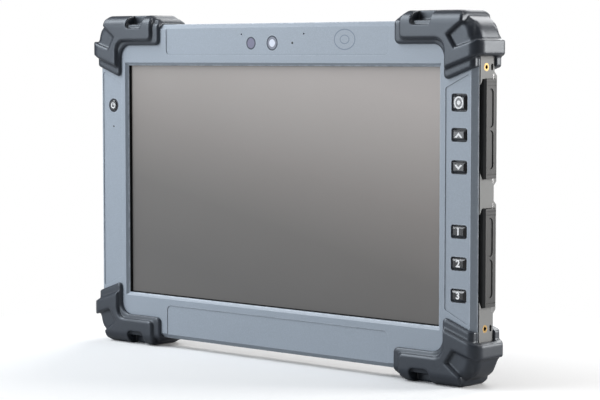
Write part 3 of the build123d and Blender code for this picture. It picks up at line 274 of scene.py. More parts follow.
def surface_material(name, colour, roughness, metallic=0.0, grain=GRAIN_SCALE, grain_height=0.02,
                     wear_highlight_colour=None, wear_and_highlight=0.0, wear_highlight_radius=WEAR_HIGHLIGHT_RADIUS, soil=0.3, soil_colour=None,
                     rough_spread=0.08, tint=0.06, specular=0.5, specular_tint=(1.0, 1.0, 1.0),
                     painted_hollow_shade=0.0, shade_reach=PAINTED_SHADE_REACH, shade_deep=PAINTED_SHADE_DEEP):
    """A finished surface: grained, unevenly handled, lighter at its edges from rubbed wear and a painted
    highlight, and darker in its hollows from painted shade.

    wear_highlight_colour and soil_colour are the colours of the lightened edges and of handled patches;
    wear_and_highlight, soil and painted_hollow_shade say how strong the lightened edges, the patches and
    the painted shade in the hollows are, and tint how far the grain varies the colour. grain_height is
    in mm, wear_highlight_radius and shade_reach are in metres.
    """
    material, tree, shader = new_material(name)
    shader.inputs["Metallic"].default_value = metallic
    shader.inputs["Specular IOR Level"].default_value = specular
    shader.inputs["Specular Tint"].default_value = rgba(specular_tint)
    grain_node = place_group(tree, GRAIN, Scale=grain)
    soil_node = place_group(tree, HANDLING, Amount=soil)
    darker = rgba([c * (1.0 - tint) for c in colour])
    lighter = rgba([min(1.0, c * (1.0 + tint)) for c in colour])
    base = mix_colour(tree, grain_node.outputs["Mask"], darker, lighter)
    dusty = soil_colour or [min(1.0, c * DUST_GAIN + DUST_LIFT) for c in colour]
    base = mix_colour(tree, soil_node.outputs["Mask"], base, rgba(dusty))
    if wear_highlight_colour:
        # edges lightened: partly rubbed wear, partly painted highlight along the rims
        wear_highlight_node = place_group(tree, EDGE_WEAR_AND_HIGHLIGHT, Radius=wear_highlight_radius, Amount=wear_and_highlight)
        base = mix_colour(tree, wear_highlight_node.outputs["Mask"], base, rgba(wear_highlight_colour))
    # painted shade: grooves, inner corners and bores are darkened towards a small share of the colour
    if painted_hollow_shade:
        shade_node = place_group(tree, PAINTED_SHADE_GROUP, Reach=shade_reach, Deep=shade_deep, Amount=painted_hollow_shade)
        shade = rgba([PAINTED_SHADE_SHARE * c for c in colour])
        base = mix_colour(tree, shade_node.outputs["Mask"], base, shade)
    tree.links.new(base, shader.inputs["Base Color"])
    spread = map_range(tree, soil_node.outputs["Mask"], 0.0, 1.0, roughness - rough_spread / 2,
                       roughness + rough_spread)
    tree.links.new(spread, shader.inputs["Roughness"])
    add_grain_bump(tree, shader, grain_node, grain_height)
    return material


# ---------------------------------------------------------------- finishes
# the hollow amounts below paint shade into grooves, panel edges and bores
BEZEL_PAINT = surface_material(
    "Bezel blue-grey paint", (0.332, 0.380, 0.440), 0.42, grain=1900.0, grain_height=0.022,
    wear_highlight_colour=(0.62, 0.68, 0.75), wear_and_highlight=0.8, wear_highlight_radius=0.0008, soil=0.25, tint=0.055, painted_hollow_shade=0.22,
    shade_reach=0.0012, shade_deep=0.70,
)
CAST_ALLOY = surface_material(
    "Bead-blasted frame alloy", (0.235, 0.24, 0.24), 0.64, metallic=0.2, grain=2800.0,
    grain_height=0.018, wear_highlight_colour=(0.62, 0.62, 0.61), wear_and_highlight=0.4, soil=0.25, tint=0.05, painted_hollow_shade=0.9,
    shade_reach=0.002,
)
HOUSING_PAINT = surface_material(
    "Rear housing paint", (0.155, 0.170, 0.190), 0.52, grain=2200.0, grain_height=0.03,
    wear_highlight_colour=(0.34, 0.36, 0.38), wear_and_highlight=0.7, wear_highlight_radius=0.0008, soil=0.35, painted_hollow_shade=0.8, shade_reach=0.0025,
    shade_deep=0.6,
)
# the rubber's light edge colour is partly wear and partly painted highlight along the rims of its steps
BUMPER_RUBBER = surface_material(
    "Bumper moulded rubber", (0.033, 0.038, 0.049), 0.39, grain=1900.0, grain_height=0.022,
    wear_highlight_colour=(0.115, 0.135, 0.165), wear_and_highlight=0.5, wear_highlight_radius=0.0012, soil=0.3,
    soil_colour=(0.041, 0.046, 0.057), specular=0.68, specular_tint=(0.86, 0.93, 1.0), painted_hollow_shade=1.0,
    shade_reach=0.0021,
)
SOFT_RUBBER = surface_material(
    "Black sealing rubber", (0.010, 0.010, 0.011), 0.62, grain=2600.0, soil=0.3,
    soil_colour=(0.02, 0.02, 0.021), specular=0.3,
)
COLLAR_RUBBER = surface_material(
    "Key collar rubber", (0.030, 0.036, 0.046), 0.5, grain=3200.0, grain_height=0.01, soil=0.3,
    specular=0.4,
)
KEY_PLASTIC = surface_material(
    "Key cap plastic", (0.012, 0.012, 0.014), 0.24, grain=4200.0, grain_height=0.002,
    wear_highlight_colour=(0.16, 0.17, 0.18), wear_and_highlight=0.6, wear_highlight_radius=0.0006, soil=0.2, soil_colour=(0.02, 0.02, 0.022),
    specular=1.0,
)
COVER_PLASTIC = surface_material(
    "Port cover plastic", (0.050, 0.052, 0.054), 0.5, grain=2400.0, grain_height=0.03,
    wear_highlight_colour=(0.12, 0.12, 0.12), wear_and_highlight=0.45, wear_highlight_radius=0.0006, soil=0.45, soil_colour=(0.072, 0.074, 0.075),
    specular=0.4, painted_hollow_shade=0.5, shade_reach=0.0015,
)
BLACK_PLASTIC = surface_material(
    "Black plastic", (0.018, 0.018, 0.020), 0.5, grain=2600.0, soil=0.3, wear_highlight_colour=(0.11, 0.11, 0.115),
    wear_and_highlight=0.6, wear_highlight_radius=0.0005, soil_colour=(0.035, 0.035, 0.036),
)
BATTERY_PLASTIC = surface_material(
    "Battery case plastic", (0.040, 0.042, 0.046), 0.55, grain=2100.0, grain_height=0.03,
    wear_highlight_colour=(0.13, 0.135, 0.14), wear_and_highlight=0.8, wear_highlight_radius=0.0009, soil=0.4, soil_colour=(0.062, 0.064, 0.068),
    painted_hollow_shade=0.8, shade_reach=0.0025, shade_deep=0.6,
)
BRASS = surface_material(
    "Turned brass", (0.36, 0.24, 0.10), 0.45, metallic=1.0, grain=2600.0, grain_height=0.01,
    soil=0.3, soil_colour=(0.32, 0.21, 0.08), painted_hollow_shade=1.0, shade_reach=0.002,
)
STEEL = surface_material(
    "Plain steel", (0.52, 0.52, 0.53), 0.3, metallic=1.0, grain=3000.0, grain_height=0.008, soil=0.3,
)
DARK_STEEL = surface_material(
    "Blackened steel", (0.05, 0.05, 0.055), 0.38, metallic=0.9, grain=2600.0, soil=0.3,
    wear_highlight_colour=(0.25, 0.25, 0.26), wear_and_highlight=0.4, wear_highlight_radius=0.0003,
)
PAINTED_RECESS_SHADE = surface_material("Painted screw recess shade", (0.008, 0.008, 0.009), 0.6, grain=2600.0, soil=0.2)
COPPER = surface_material("Rolled copper", (0.72, 0.36, 0.21), 0.3, metallic=1.0, grain=1800.0, soil=0.3)
SOLDER_MASK = surface_material(
    "Green solder mask", (0.016, 0.095, 0.045), 0.35, grain=900.0, grain_height=0.02, tint=0.25,
    soil=0.3,
)
CHIP_EPOXY = surface_material("Chip epoxy", (0.022, 0.022, 0.024), 0.6, grain=3200.0, soil=0.2)
FILM = surface_material("Polyimide film", (0.42, 0.20, 0.05), 0.35, grain=1200.0, soil=0.3, tint=0.12)
GLYPH_PAINT = surface_material(
    "White key marking", (0.96, 0.965, 0.97), 0.45, grain=5200.0, grain_height=0.004, soil=0.15,
    soil_colour=(0.84, 0.85, 0.86), tint=0.02,
)
MARK_PAINT = surface_material(
    "Slate marking ink", (0.20, 0.24, 0.30), 0.5, grain=5200.0, grain_height=0.004, soil=0.2, tint=0.04,
)


# ---------------------------------------------------------------- glass
# black border of the glass: print, made wide enough to serve as painted shadow of the bezel's inner wall
# as well
BORDER_INK_AND_SHADOW = (0.006, 0.006, 0.007)
BORDER_WIDTH = 0.6 * MM
BORDER_BLUR = 0.1           # share of its width over which the border fades out, to each side
# the dark panel under a painted reflection of the room, from its foot up, by share of its height
PAINTED_REFLECTION_SHADES = [
    (0.0, (0.156, 0.149, 0.143)), (0.30, (0.184, 0.172, 0.162)), (0.55, (0.256, 0.232, 0.216)),
    (0.80, (0.350, 0.316, 0.294)), (1.0, (0.425, 0.380, 0.356)),
]
PAINTED_REFLECTION_LEAN = (-0.22, 0.16)            # added to that share at the left and the right edge
DISPLAY_ROUGHNESS = (0.22, 0.34)        # where the glass is clean, and where it is handled
DISPLAY_HANDLING_SCALE = 14.0
DISPLAY_SPECULAR = 0.3
DISPLAY_GRAIN_HEIGHT = 0.002            # in mm


def printed_border(tree, split):
    """Mask of the thin black line along the sides and the foot of the display glass: a printed border,
    widened to stand in as painted shadow of the bezel's inner wall.
    """
    left = math_node(tree, "SUBTRACT", split.outputs["X"], WINDOW_LOW.x)
    right = math_node(tree, "SUBTRACT", WINDOW_HIGH.x, split.outputs["X"])
    foot = math_node(tree, "SUBTRACT", split.outputs["Z"], WINDOW_LOW.z)
    nearest = math_node(tree, "MINIMUM", math_node(tree, "MINIMUM", left, right), foot)
    inner, outer = (1 - BORDER_BLUR) * BORDER_WIDTH, (1 + BORDER_BLUR) * BORDER_WIDTH
    return map_range(tree, nearest, inner, outer, 1.0, 0.0)


def display_glass():
    """Bonded anti-glare glass over a dark panel, with a painted reflection of the room that makes it
    lighter towards the top.
    """
    material, tree, shader = new_material("Anti-glare display glass")
    split = tree.nodes.new("ShaderNodeSeparateXYZ")
    tree.links.new(object_coordinates(tree), split.inputs[0])
    height = map_range(tree, split.outputs["Z"], WINDOW_LOW.z, WINDOW_HIGH.z)
    across = map_range(tree, split.outputs["X"], WINDOW_LOW.x, WINDOW_HIGH.x, *PAINTED_REFLECTION_LEAN)
    # painted reflection: lighter towards the top, and a little towards the right
    ramp = tree.nodes.new("ShaderNodeValToRGB")
    tree.links.new(math_node(tree, "ADD", height, across), ramp.inputs[0])
    first, last = ramp.color_ramp.elements
    first.color, last.color = rgba(PAINTED_REFLECTION_SHADES[0][1]), rgba(PAINTED_REFLECTION_SHADES[-1][1])
    for position, colour in PAINTED_REFLECTION_SHADES[1:-1]:
        ramp.color_ramp.elements.new(position).color = rgba(colour)
    border = printed_border(tree, split)
    shown = mix_colour(tree, border, ramp.outputs["Color"], rgba(BORDER_INK_AND_SHADOW))
    tree.links.new(shown, shader.inputs["Base Color"])
    soil_node = place_group(tree, HANDLING, Scale=DISPLAY_HANDLING_SCALE)
    rough = map_range(tree, soil_node.outputs["Mask"], 0.0, 1.0, *DISPLAY_ROUGHNESS)
    tree.links.new(rough, shader.inputs["Roughness"])
    shader.inputs["Specular IOR Level"].default_value = DISPLAY_SPECULAR
    grain_node = place_group(tree, GRAIN, Scale=FINE_GRAIN)
    add_grain_bump(tree, shader, grain_node, DISPLAY_GRAIN_HEIGHT)
    return material


def smooth_window(name, colour, roughness):
    """Smooth glass or clear plastic, as in a window, a lens or a light guide."""
    return surface_material(name, colour, roughness, grain=FINE_GRAIN, grain_height=0.001, soil=0.3,
                            rough_spread=0.04, specular=0.25)


DISPLAY_GLASS = display_glass()
SENSOR_GLASS = smooth_window("Violet sensor window", (0.235, 0.230, 0.320), 0.5)
CAMERA_GLASS = smooth_window("Camera window", (0.27, 0.285, 0.34), 0.45)
LENS_DISC = smooth_window("Pale lens disc", (0.78, 0.82, 0.93), 0.4)
LENS_RIM = smooth_window("Dark lens rim", (0.085, 0.098, 0.125), 0.5)
REAR_GLASS = smooth_window("Rear camera window", (0.015, 0.015, 0.025), 0.08)
LIGHT_GUIDE = smooth_window("Light guide", (0.05, 0.055, 0.06), 0.2)


# ---------------------------------------------------------------- dressing of the CAD nodes
NODE_FINISHES = [
    (BEZEL_PAINT, ["front_bezel"]),
    (DISPLAY_GLASS, ["touch_glass"]),
    (CAST_ALLOY, ["mid_frame"]),
    (HOUSING_PAINT, ["rear_housing"]),
    (BUMPER_RUBBER, [f"bumper_{corner}" for corner in CORNERS]),
    (SOFT_RUBBER, ["display_gasket", "housing_seal", "port_seal_upper", "port_seal_lower"]),
    (COLLAR_RUBBER, ["keypad_mat", "power_seal"]),
    (KEY_PLASTIC, [*KEYS, "power_button"]),
    (COVER_PLASTIC, ["port_cover_upper", "port_cover_lower"]),
    (BLACK_PLASTIC, ["lcd_panel", "camera_module", "port_liners", "audio_jack", "power_jack",
                     "rear_camera_module", "speakers", "dock_connector", "battery_connector",
                     "battery_latch_left", "battery_latch_right"]),
    (BATTERY_PLASTIC, ["battery_pack"]),
    (SOLDER_MASK, ["key_board", "power_board", "sensor_board", "io_board", "main_board"]),
    (CHIP_EPOXY, ["microphones", "processor", "storage_card"]),
    (STEEL, ["key_switches", "hinge_pins", "usb_port", "usb_c_port", "hdmi_port"]),
    (DARK_STEEL, ["bumper_screws", "housing_screws"]),
    (BRASS, ["side_inserts", "rear_inserts"]),
    (COPPER, ["heat_spreader"]),
    (FILM, ["reader_antenna", "antennas"]),
    (CAMERA_GLASS, ["camera_window"]),
    (SENSOR_GLASS, ["light_sensor_window"]),
    (REAR_GLASS, ["rear_camera_window"]),
    (LIGHT_GUIDE, ["light_pipes"]),
]
# nodes whose edges are softened, by the width of the rounding
SOFT_EDGES = [
    (0.12 * MM, ["keypad_mat"]),
    (0.15 * MM, ["power_seal", "battery_latch_left", "battery_latch_right"]),
    (0.2 * MM, ["mid_frame", "power_button"]),
    (0.25 * MM, ["front_bezel"]),
    (0.3 * MM, ["rear_housing", "port_cover_upper", "port_cover_lower", *KEYS]),
    (0.35 * MM, ["battery_pack"]),
]
ROUND_SEGMENTS = 3
SHARP_ANGLE = radians(28)   # edges that turn by more than this are softened


def soften_edges(obj, width):
    """Rounded edges that catch the light, with even shading on the flats."""
    bevel = obj.modifiers.new("soft edges", "BEVEL")
    bevel.width = width
    bevel.segments = ROUND_SEGMENTS
    bevel.limit_method = "ANGLE"
    bevel.angle_limit = SHARP_ANGLE
    bevel.harden_normals = True


for finish, names in NODE_FINISHES:
    for name in names:
        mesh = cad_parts[name].data
        mesh.materials.clear()
        mesh.materials.append(finish)

for width, names in SOFT_EDGES:
    for name in names:
        soften_edges(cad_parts[name], width)


# ---------------------------------------------------------------- moulded corner bumpers
SKIN_VOXEL = 0.45 * MM
SKIN_PASSES = 8             # smoothing passes that soften the moulding's edges
SKIN_EASE = 0.5             # share of the way to its neighbours that a point goes in each
FRONT_ROLL = 3.6 * MM       # round that the solid has on its front edges
TOP_ROUND = 6.6 * MM        # fuller round of the moulding where the front meets the top or foot
SIDE_ROUND = 6.8 * MM       # and where it meets the side
CORE_DEPTH = 2.0 * MM       # the corner core lies this far under the pads at the side and the end
CORE_STEP = 1.9 * MM        # and this far behind their front
CORE_ROLL = 5.0 * MM        # round of the core's front edges in the solid
CORE_ROUND = 6.8 * MM       # and in the moulding
CORE_BACK_EDGE = 2.2 * MM   # the same two for its rear edges
CORE_BACK_ROUND = 4.5 * MM
CORE_START = 0.2 * MM       # the fuller rounds start this far inside the core's outline
CORE_BLEND = 2.5 * MM       # and come in over this width
END_ROUND = 3.0 * MM        # round of the corners at the ends of the two steps' arms
LOWER_ARM = (54.8 * MM, 16.95 * MM)     # those corners, from the bumper's side and end
UPPER_ARM = (50.2 * MM, 14.4 * MM)
UPPER_STEP = 2.2 * MM       # the upper step lies within this depth of the front
CORNER_CATCH = 0.5 * MM     # points this far outside an arm's corner are still rounded with it
FAR = 1.0                   # more than any distance on the tablet
# inner edges of the pads round the core, from the top pad's end to the side pad, as distances from
# the bumper's side and end
CORE_EDGES = [
    (10.6 * MM, -9.0 * MM), (10.6 * MM, 5.9 * MM), (19.3 * MM, 12.2 * MM), (15.0 * MM, 18.4 * MM),
    (-9.0 * MM, 11.2 * MM),
]


def evaluated_mesh(obj):
    """A new mesh with the object's modifiers applied."""
    graph = bpy.context.evaluated_depsgraph_get()
    return bpy.data.meshes.new_from_object(obj.evaluated_get(graph), depsgraph=graph)


def fuller_round(across, depth, full, roll):
    """Draw a corner profile in from a round of one radius to a fuller one.

    across and depth are distances from the two faces that meet in the corner.
    """
    x, y = np.clip(full - across, 0, None), np.clip(full - depth, 0, None)
    reach = np.hypot(x, y)
    inside = (x > 0) & (y > 0) & (reach > 0)
    safe = np.where(inside, reach, 1.0)
    cx, cy = np.where(inside, x, 1.0) / safe, np.where(inside, y, 0.0) / safe
    flat = full / np.maximum(cx, cy)
    seat = full - roll
    along = seat * (cx + cy)
    arc = along + np.sqrt(np.clip(along ** 2 - 2 * seat ** 2 + roll ** 2, 0, None))
    on_arc = np.minimum(cx, cy) * flat > seat
    scale = np.where(inside, full / np.where(on_arc, arc, flat), 1.0)
    return np.where(inside, full - x * scale, across), np.where(inside, full - y * scale, depth)


def inside_distance(x, y, corners):
    """How far points lie inside a run of straight edges, taken clockwise; negative outside."""
    nearest = np.full(x.shape, FAR)
    for (ax, ay), (bx, by) in zip(corners, corners[1:]):
        length = ((bx - ax) ** 2 + (by - ay) ** 2) ** 0.5
        nearest = np.minimum(nearest, ((bx - ax) * (y - ay) - (by - ay) * (x - ax)) / length)
    return nearest


def round_arm_end(from_side, from_end, corner, chosen):
    """Round the sharp corner of an arm's outline for the chosen points."""
    across, depth = corner[0] - from_side, corner[1] - from_end
    near = chosen & (across > -CORNER_CATCH) & (depth > -CORNER_CATCH)
    rounded = fuller_round(across, depth, END_ROUND, 0.0)
    return (np.where(near, corner[0] - rounded[0], from_side),
            np.where(near, corner[1] - rounded[1], from_end))


def round_core(from_side, from_end, from_front, thickness):
    """Make the core between the pads rounder than the rest, at the back as well."""
    core = inside_distance(from_side, from_end, CORE_EDGES)
    share = np.clip((core - CORE_START) / CORE_BLEND, 0, 1)
    share = share * share * (3 - 2 * share)
    across, along, depth = from_side - CORE_DEPTH, from_end - CORE_DEPTH, from_front - CORE_STEP
    along, depth = fuller_round(along, depth, CORE_ROUND, CORE_ROLL)
    across, depth = fuller_round(across, depth, CORE_ROUND, CORE_ROLL)
    core_thickness = thickness - CORE_STEP
    behind = core_thickness - depth
    across, behind = fuller_round(across, behind, CORE_BACK_ROUND, CORE_BACK_EDGE)
    along, behind = fuller_round(along, behind, CORE_BACK_ROUND, CORE_BACK_EDGE)
    return (from_side + share * (across + CORE_DEPTH - from_side),
            from_end + share * (along + CORE_DEPTH - from_end),
            from_front + share * (core_thickness - behind + CORE_STEP - from_front))


def even_copy(node_name):
    """A new object with a node's form in small even faces."""
    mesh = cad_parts[node_name].data.copy()
    skin = bpy.data.objects.new(node_name + "_skin", mesh)
    bpy.context.scene.collection.objects.link(skin)
    remesh = skin.modifiers.new("even skin", "REMESH")
    remesh.mode = "VOXEL"
    remesh.voxel_size = SKIN_VOXEL
    remesh.use_smooth_shade = True
    skin.data = evaluated_mesh(skin)
    skin.modifiers.clear()
    return skin


def mould_corner(skin, low, high):
    """Move a skin's points to the moulding's fuller rounds; low and high are the bumper's corners."""
    side = 1 if high.x > 0 else -1
    up = 1 if low.z > MIDDLE_Z else -1
    edge_x = high.x if side > 0 else -low.x
    edge_z = high.z if up > 0 else low.z
    points = np.empty(3 * len(skin.data.vertices))
    skin.data.vertices.foreach_get("co", points)
    points = points.reshape(-1, 3)
    # from here on, places are distances from the bumper's side, end and front
    from_side = edge_x - side * points[:, 0]
    from_end = up * (edge_z - points[:, 2])
    from_front = points[:, 1] - low.y
    in_upper = from_front < UPPER_STEP
    from_side, from_end = round_arm_end(from_side, from_end, UPPER_ARM, in_upper)
    from_side, from_end = round_arm_end(from_side, from_end, LOWER_ARM, True)
    from_side, from_end, from_front = round_core(from_side, from_end, from_front, high.y - low.y)
    from_end, from_front = fuller_round(from_end, from_front, TOP_ROUND, FRONT_ROLL)
    from_side, from_front = fuller_round(from_side, from_front, SIDE_ROUND, FRONT_ROLL)
    points[:, 0] = side * (edge_x - from_side)
    points[:, 1] = low.y + from_front
    points[:, 2] = edge_z - up * from_end
    skin.data.vertices.foreach_set("co", points.ravel())


def bumper_skin(node_name):
    """The rubber moulding over a bumper's solid: the same form with fuller rounds and soft edges."""
    skin = even_copy(node_name)
    mould_corner(skin, *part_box(node_name))
    smooth = skin.modifiers.new("soft edges", "SMOOTH")
    smooth.factor = SKIN_EASE
    smooth.iterations = SKIN_PASSES
    skin.data.materials.clear()
    skin.data.materials.append(BUMPER_RUBBER)
    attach(skin, TABLET)
    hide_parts(node_name)


for corner in CORNERS:
    bumper_skin("bumper_" + corner)


# ---------------------------------------------------------------- making of marks and rims
MARK_LIFT = 0.03 * MM       # a mark stands this far proud of its face, and reaches as far behind it
FULL_TURN = 2 * pi


def add_piece(name, data, material, body, place=Matrix()):
    """A new piece of mesh or text data, riding on a body."""
    piece = bpy.data.objects.new(name, data)
    bpy.context.scene.collection.objects.link(piece)
    piece.matrix_world = place
    data.materials.append(material)
    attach(piece, body)


def mesh_piece(name, draw, material, body):
    """A new piece whose mesh draw makes in a bmesh."""
    mesh = bpy.data.meshes.new(name)
    bm = bmesh.new()
    draw(bm)
    bmesh.ops.recalc_face_normals(bm, faces=bm.faces)
    bm.to_mesh(mesh)
    bm.free()
    add_piece(name, mesh, material, body)


def front_centre(node_name):
    """Centre of a node in x and z, and the y of its front."""
    low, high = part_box(node_name)
    return ((low.x + high.x) / 2, (low.z + high.z) / 2), low.y


def thin_plate(bm, outline, y):
    """A thin closed plate with an outline in x and z, half of it proud of a face at y."""
    front = [bm.verts.new((x, y - MARK_LIFT, z)) for x, z in outline]
    back = [bm.verts.new((x, y + MARK_LIFT, z)) for x, z in outline]
    bm.faces.new(front)
    bm.faces.new(list(reversed(back)))
    count = len(outline)
    for i in range(count):
        j = (i + 1) % count
        bm.faces.new((front[j], front[i], back[i], back[j]))


def thin_ring(bm, centre, radius_x, radius_z, line, y, start=0.0, end=FULL_TURN, steps=48):
    """A thin elliptical band, whole or an arc from start to end, half of it proud of a face at y."""
    whole = end - start >= FULL_TURN
    angles = [start + (end - start) * i / steps for i in range(steps if whole else steps + 1)]

    def row(offset, level):
        return [
            bm.verts.new((
                centre[0] + (radius_x + offset) * sin(angle), level,
                centre[1] + (radius_z + offset) * cos(angle),
            ))
            for angle in angles
        ]
    outer_front, inner_front = row(line / 2, y - MARK_LIFT), row(-line / 2, y - MARK_LIFT)
    outer_back, inner_back = row(line / 2, y + MARK_LIFT), row(-line / 2, y + MARK_LIFT)
    last = len(angles) if whole else len(angles) - 1
    for i in range(last):
        j = (i + 1) % len(angles)
        bm.faces.new((outer_front[i], outer_front[j], inner_front[j], inner_front[i]))
        bm.faces.new((outer_back[j], outer_back[i], inner_back[i], inner_back[j]))
        bm.faces.new((outer_front[j], outer_front[i], outer_back[i], outer_back[j]))
        bm.faces.new((inner_front[i], inner_front[j], inner_back[j], inner_back[i]))
    if not whole:
        for i in (0, last):
            bm.faces.new((outer_front[i], inner_front[i], inner_back[i], outer_back[i]))


def fixed_rings(name, centre, rings, y, material):
    """Flat rings that ride on the tablet, each given by its half width, half height and line."""
    def draw(bm):
        for ring in rings:
            thin_ring(bm, centre, *ring, y)
    mesh_piece(name, draw, material, TABLET)


def key_mark(key, draw):
    """A white marking on a key or button, which moves with it."""
    mesh_piece(key + "_mark", draw, GLYPH_PAINT, key + "_body")


# ---------------------------------------------------------------- key markings
CHEVRON_HALF = 2.4 * MM     # half the width of an arrowhead
CHEVRON_RISE = 2.5 * MM
CHEVRON_STROKE = 1.1 * MM
CHEVRON_FOOT = 1.2          # width of a stroke's foot, and its height at the tip, in strokes
CHEVRON_TIP = 1.25
NUMBER_SIZE = 5.0 * MM
NUMBER_BOLD = 0.18 * MM     # added to the strokes on each side
NUMBER_STEPS = 6
HOME_RING = (2.45 * MM, 2.75 * MM, 0.75 * MM)       # half width, half height and line
HOME_DOT = (0.55 * MM, 0.6 * MM, 1.08 * MM)
POWER_RADIUS = 1.45 * MM
POWER_LINE = 0.5 * MM
POWER_GAP = 38              # degrees from the top at which the ring starts and ends
POWER_STROKE = (0.26 * MM, 0.1 * MM, 1.9 * MM)      # half width, foot and top, from the ring's centre


def chevron(key, up):
    """A thick arrowhead of two strokes on a key."""
    (x, z), face = front_centre(key)
    turn = 1 if up else -1
    foot = z - turn * CHEVRON_RISE / 2
    foot_width = CHEVRON_FOOT * CHEVRON_STROKE
    inner_rise = CHEVRON_RISE - CHEVRON_TIP * CHEVRON_STROKE
    outline = [
        (x - CHEVRON_HALF, foot), (x, foot + turn * CHEVRON_RISE), (x + CHEVRON_HALF, foot),
        (x + CHEVRON_HALF - foot_width, foot), (x, foot + turn * inner_rise),
        (x - CHEVRON_HALF + foot_width, foot),
    ]
    key_mark(key, lambda bm: thin_plate(bm, outline, face))


def number_mark(number):
    """A plain number on a function key."""
    key = f"function_key_{number}"
    (x, z), face = front_centre(key)
    text = bpy.data.curves.new(key + "_mark", "FONT")
    text.body = str(number)
    text.align_x, text.align_y = "CENTER", "CENTER"
    text.size = NUMBER_SIZE
    text.offset = NUMBER_BOLD
    text.extrude = MARK_LIFT
    text.resolution_u = NUMBER_STEPS
    upright = Matrix.Translation((x, face, z)) @ Matrix.Rotation(pi / 2, 4, "X")
    add_piece(key + "_mark", text, GLYPH_PAINT, key + "_body", upright)


def home_mark():
    """A plain ring with a dot on the home key."""
    centre, face = front_centre("home_key")

    def draw(bm):
        thin_ring(bm, centre, *HOME_RING, face)
        thin_ring(bm, centre, *HOME_DOT, face, steps=24)
    key_mark("home_key", draw)


def power_mark():
    """The usual power sign: an open ring with a stroke."""
    centre, face = front_centre("power_button")

    def draw(bm):
        thin_ring(bm, centre, POWER_RADIUS, POWER_RADIUS, POWER_LINE, face,
                  radians(POWER_GAP), radians(360 - POWER_GAP), 36)
        half, foot, top = POWER_STROKE
        x, z = centre
        thin_plate(bm, [(x - half, z + foot), (x + half, z + foot), (x + half, z + top),
                        (x - half, z + top)], face)
    key_mark("power_button", draw)


# ---------------------------------------------------------------- camera strip
RIM_WIDTH = 0.75 * MM
PUPIL_RADIUS = 2.1 * MM
PUPIL_HOLE = 0.02 * MM      # left open at the disc's middle
READER_RAISE = 1.2 * MM     # the mark's place above the middle of the reader's coil
READER_RINGS = [(7.0 * MM, 5.2 * MM, 0.55 * MM), (3.0 * MM, 2.2 * MM, 0.45 * MM)]


def reader_mark():
    """Two plain printed rings over the reader's coil."""
    (x, z), _ = front_centre("reader_antenna")
    fixed_rings("reader_mark", (x, z + READER_RAISE), READER_RINGS, PANEL_Y, MARK_PAINT)


def lens_rings():
    """Dark rims round the two front windows, and the pale disc in the camera's."""
    for window in ("camera_window", "light_sensor_window"):
        low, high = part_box(window)
        centre, face = front_centre(window)
        radius = (high.x - low.x) / 2 - RIM_WIDTH / 2
        fixed_rings(window + "_rim", centre, [(radius, radius, RIM_WIDTH)], face, LENS_RIM)
        if window == "camera_window":
            half = PUPIL_RADIUS / 2
            disc = (half, half, PUPIL_RADIUS - PUPIL_HOLE)
            fixed_rings(window + "_pupil", centre, [disc], face, LENS_DISC)


# ---------------------------------------------------------------- screws on the back
WELD = 0.001 * MM
BOX_DIGITS = 4              # solids are put in order by their place to this many decimals of a metre
RECESS_ARM = 0.3            # half length and half width of a recess's arms, in widths of the head
RECESS_HALF = 0.055


def island_boxes(node_name):
    """Lowest and highest corner of each separate solid in a node's mesh."""
    bm = bmesh.new()
    bm.from_mesh(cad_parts[node_name].data)
    bmesh.ops.remove_doubles(bm, verts=bm.verts, dist=WELD)
    waiting, boxes = set(bm.verts), []
    while waiting:
        reached, front = set(), [waiting.pop()]
        while front:
            vertex = front.pop()
            if vertex in reached:
                continue
            reached.add(vertex)
            front.extend(edge.other_vert(vertex) for edge in vertex.link_edges)
        waiting -= reached
        places = [vertex.co for vertex in reached]
        boxes.append((Vector([min(place[axis] for place in places) for axis in range(3)]),
                      Vector([max(place[axis] for place in places) for axis in range(3)])))
    bm.free()
    return sorted(boxes, key=lambda box: (round(box[0].x, BOX_DIGITS), round(box[0].z, BOX_DIGITS)))


def screw_recesses(node_name):
    """A black cross on the head of each screw that shows on the back: painted shade where a cross recess
    would be.
    """
    boxes = island_boxes(node_name)

    def draw(bm):
        for low, high in boxes:
            x, z = (low.x + high.x) / 2, (low.z + high.z) / 2
            arm, half = RECESS_ARM * (high.x - low.x), RECESS_HALF * (high.x - low.x)
            cross = [
                (-half, -arm), (half, -arm), (half, -half), (arm, -half), (arm, half), (half, half),
                (half, arm), (-half, arm), (-half, half), (-arm, half), (-arm, -half), (-half, -half),
            ]
            # painted shade: a black plate in the shape of the recess
            thin_plate(bm, [(x + dx, z + dz) for dx, dz in cross], high.y)
    mesh_piece(node_name + "_painted_recess_shade", draw, PAINTED_RECESS_SHADE, TABLET)


chevron("up_key", True)
chevron("down_key", False)
for number in (1, 2, 3):
    number_mark(number)
screw_recesses("bumper_screws")
screw_recesses("housing_screws")
home_mark()
power_mark()
reader_mark()
lens_rings()


# ---------------------------------------------------------------- stage and surroundings
WHITE = (1.0, 1.0, 1.0)
FLOOR_SIZE = 40.0
CARD_BOUNCE = (0.38, 0.38, 0.38)        # the card for the light that it throws back
CARD_SEEN = (0.98, 0.98, 0.98)          # and for the camera
CARD_FADE = (0.12, 0.26)                # distance from the tablet's foot over which it turns white
CARD_ROUGHNESS = 0.95
CARD_SPECULAR = 0.1
AROUND_COLOUR = (0.96, 0.98, 1.0)
AROUND_LEVEL = 0.14


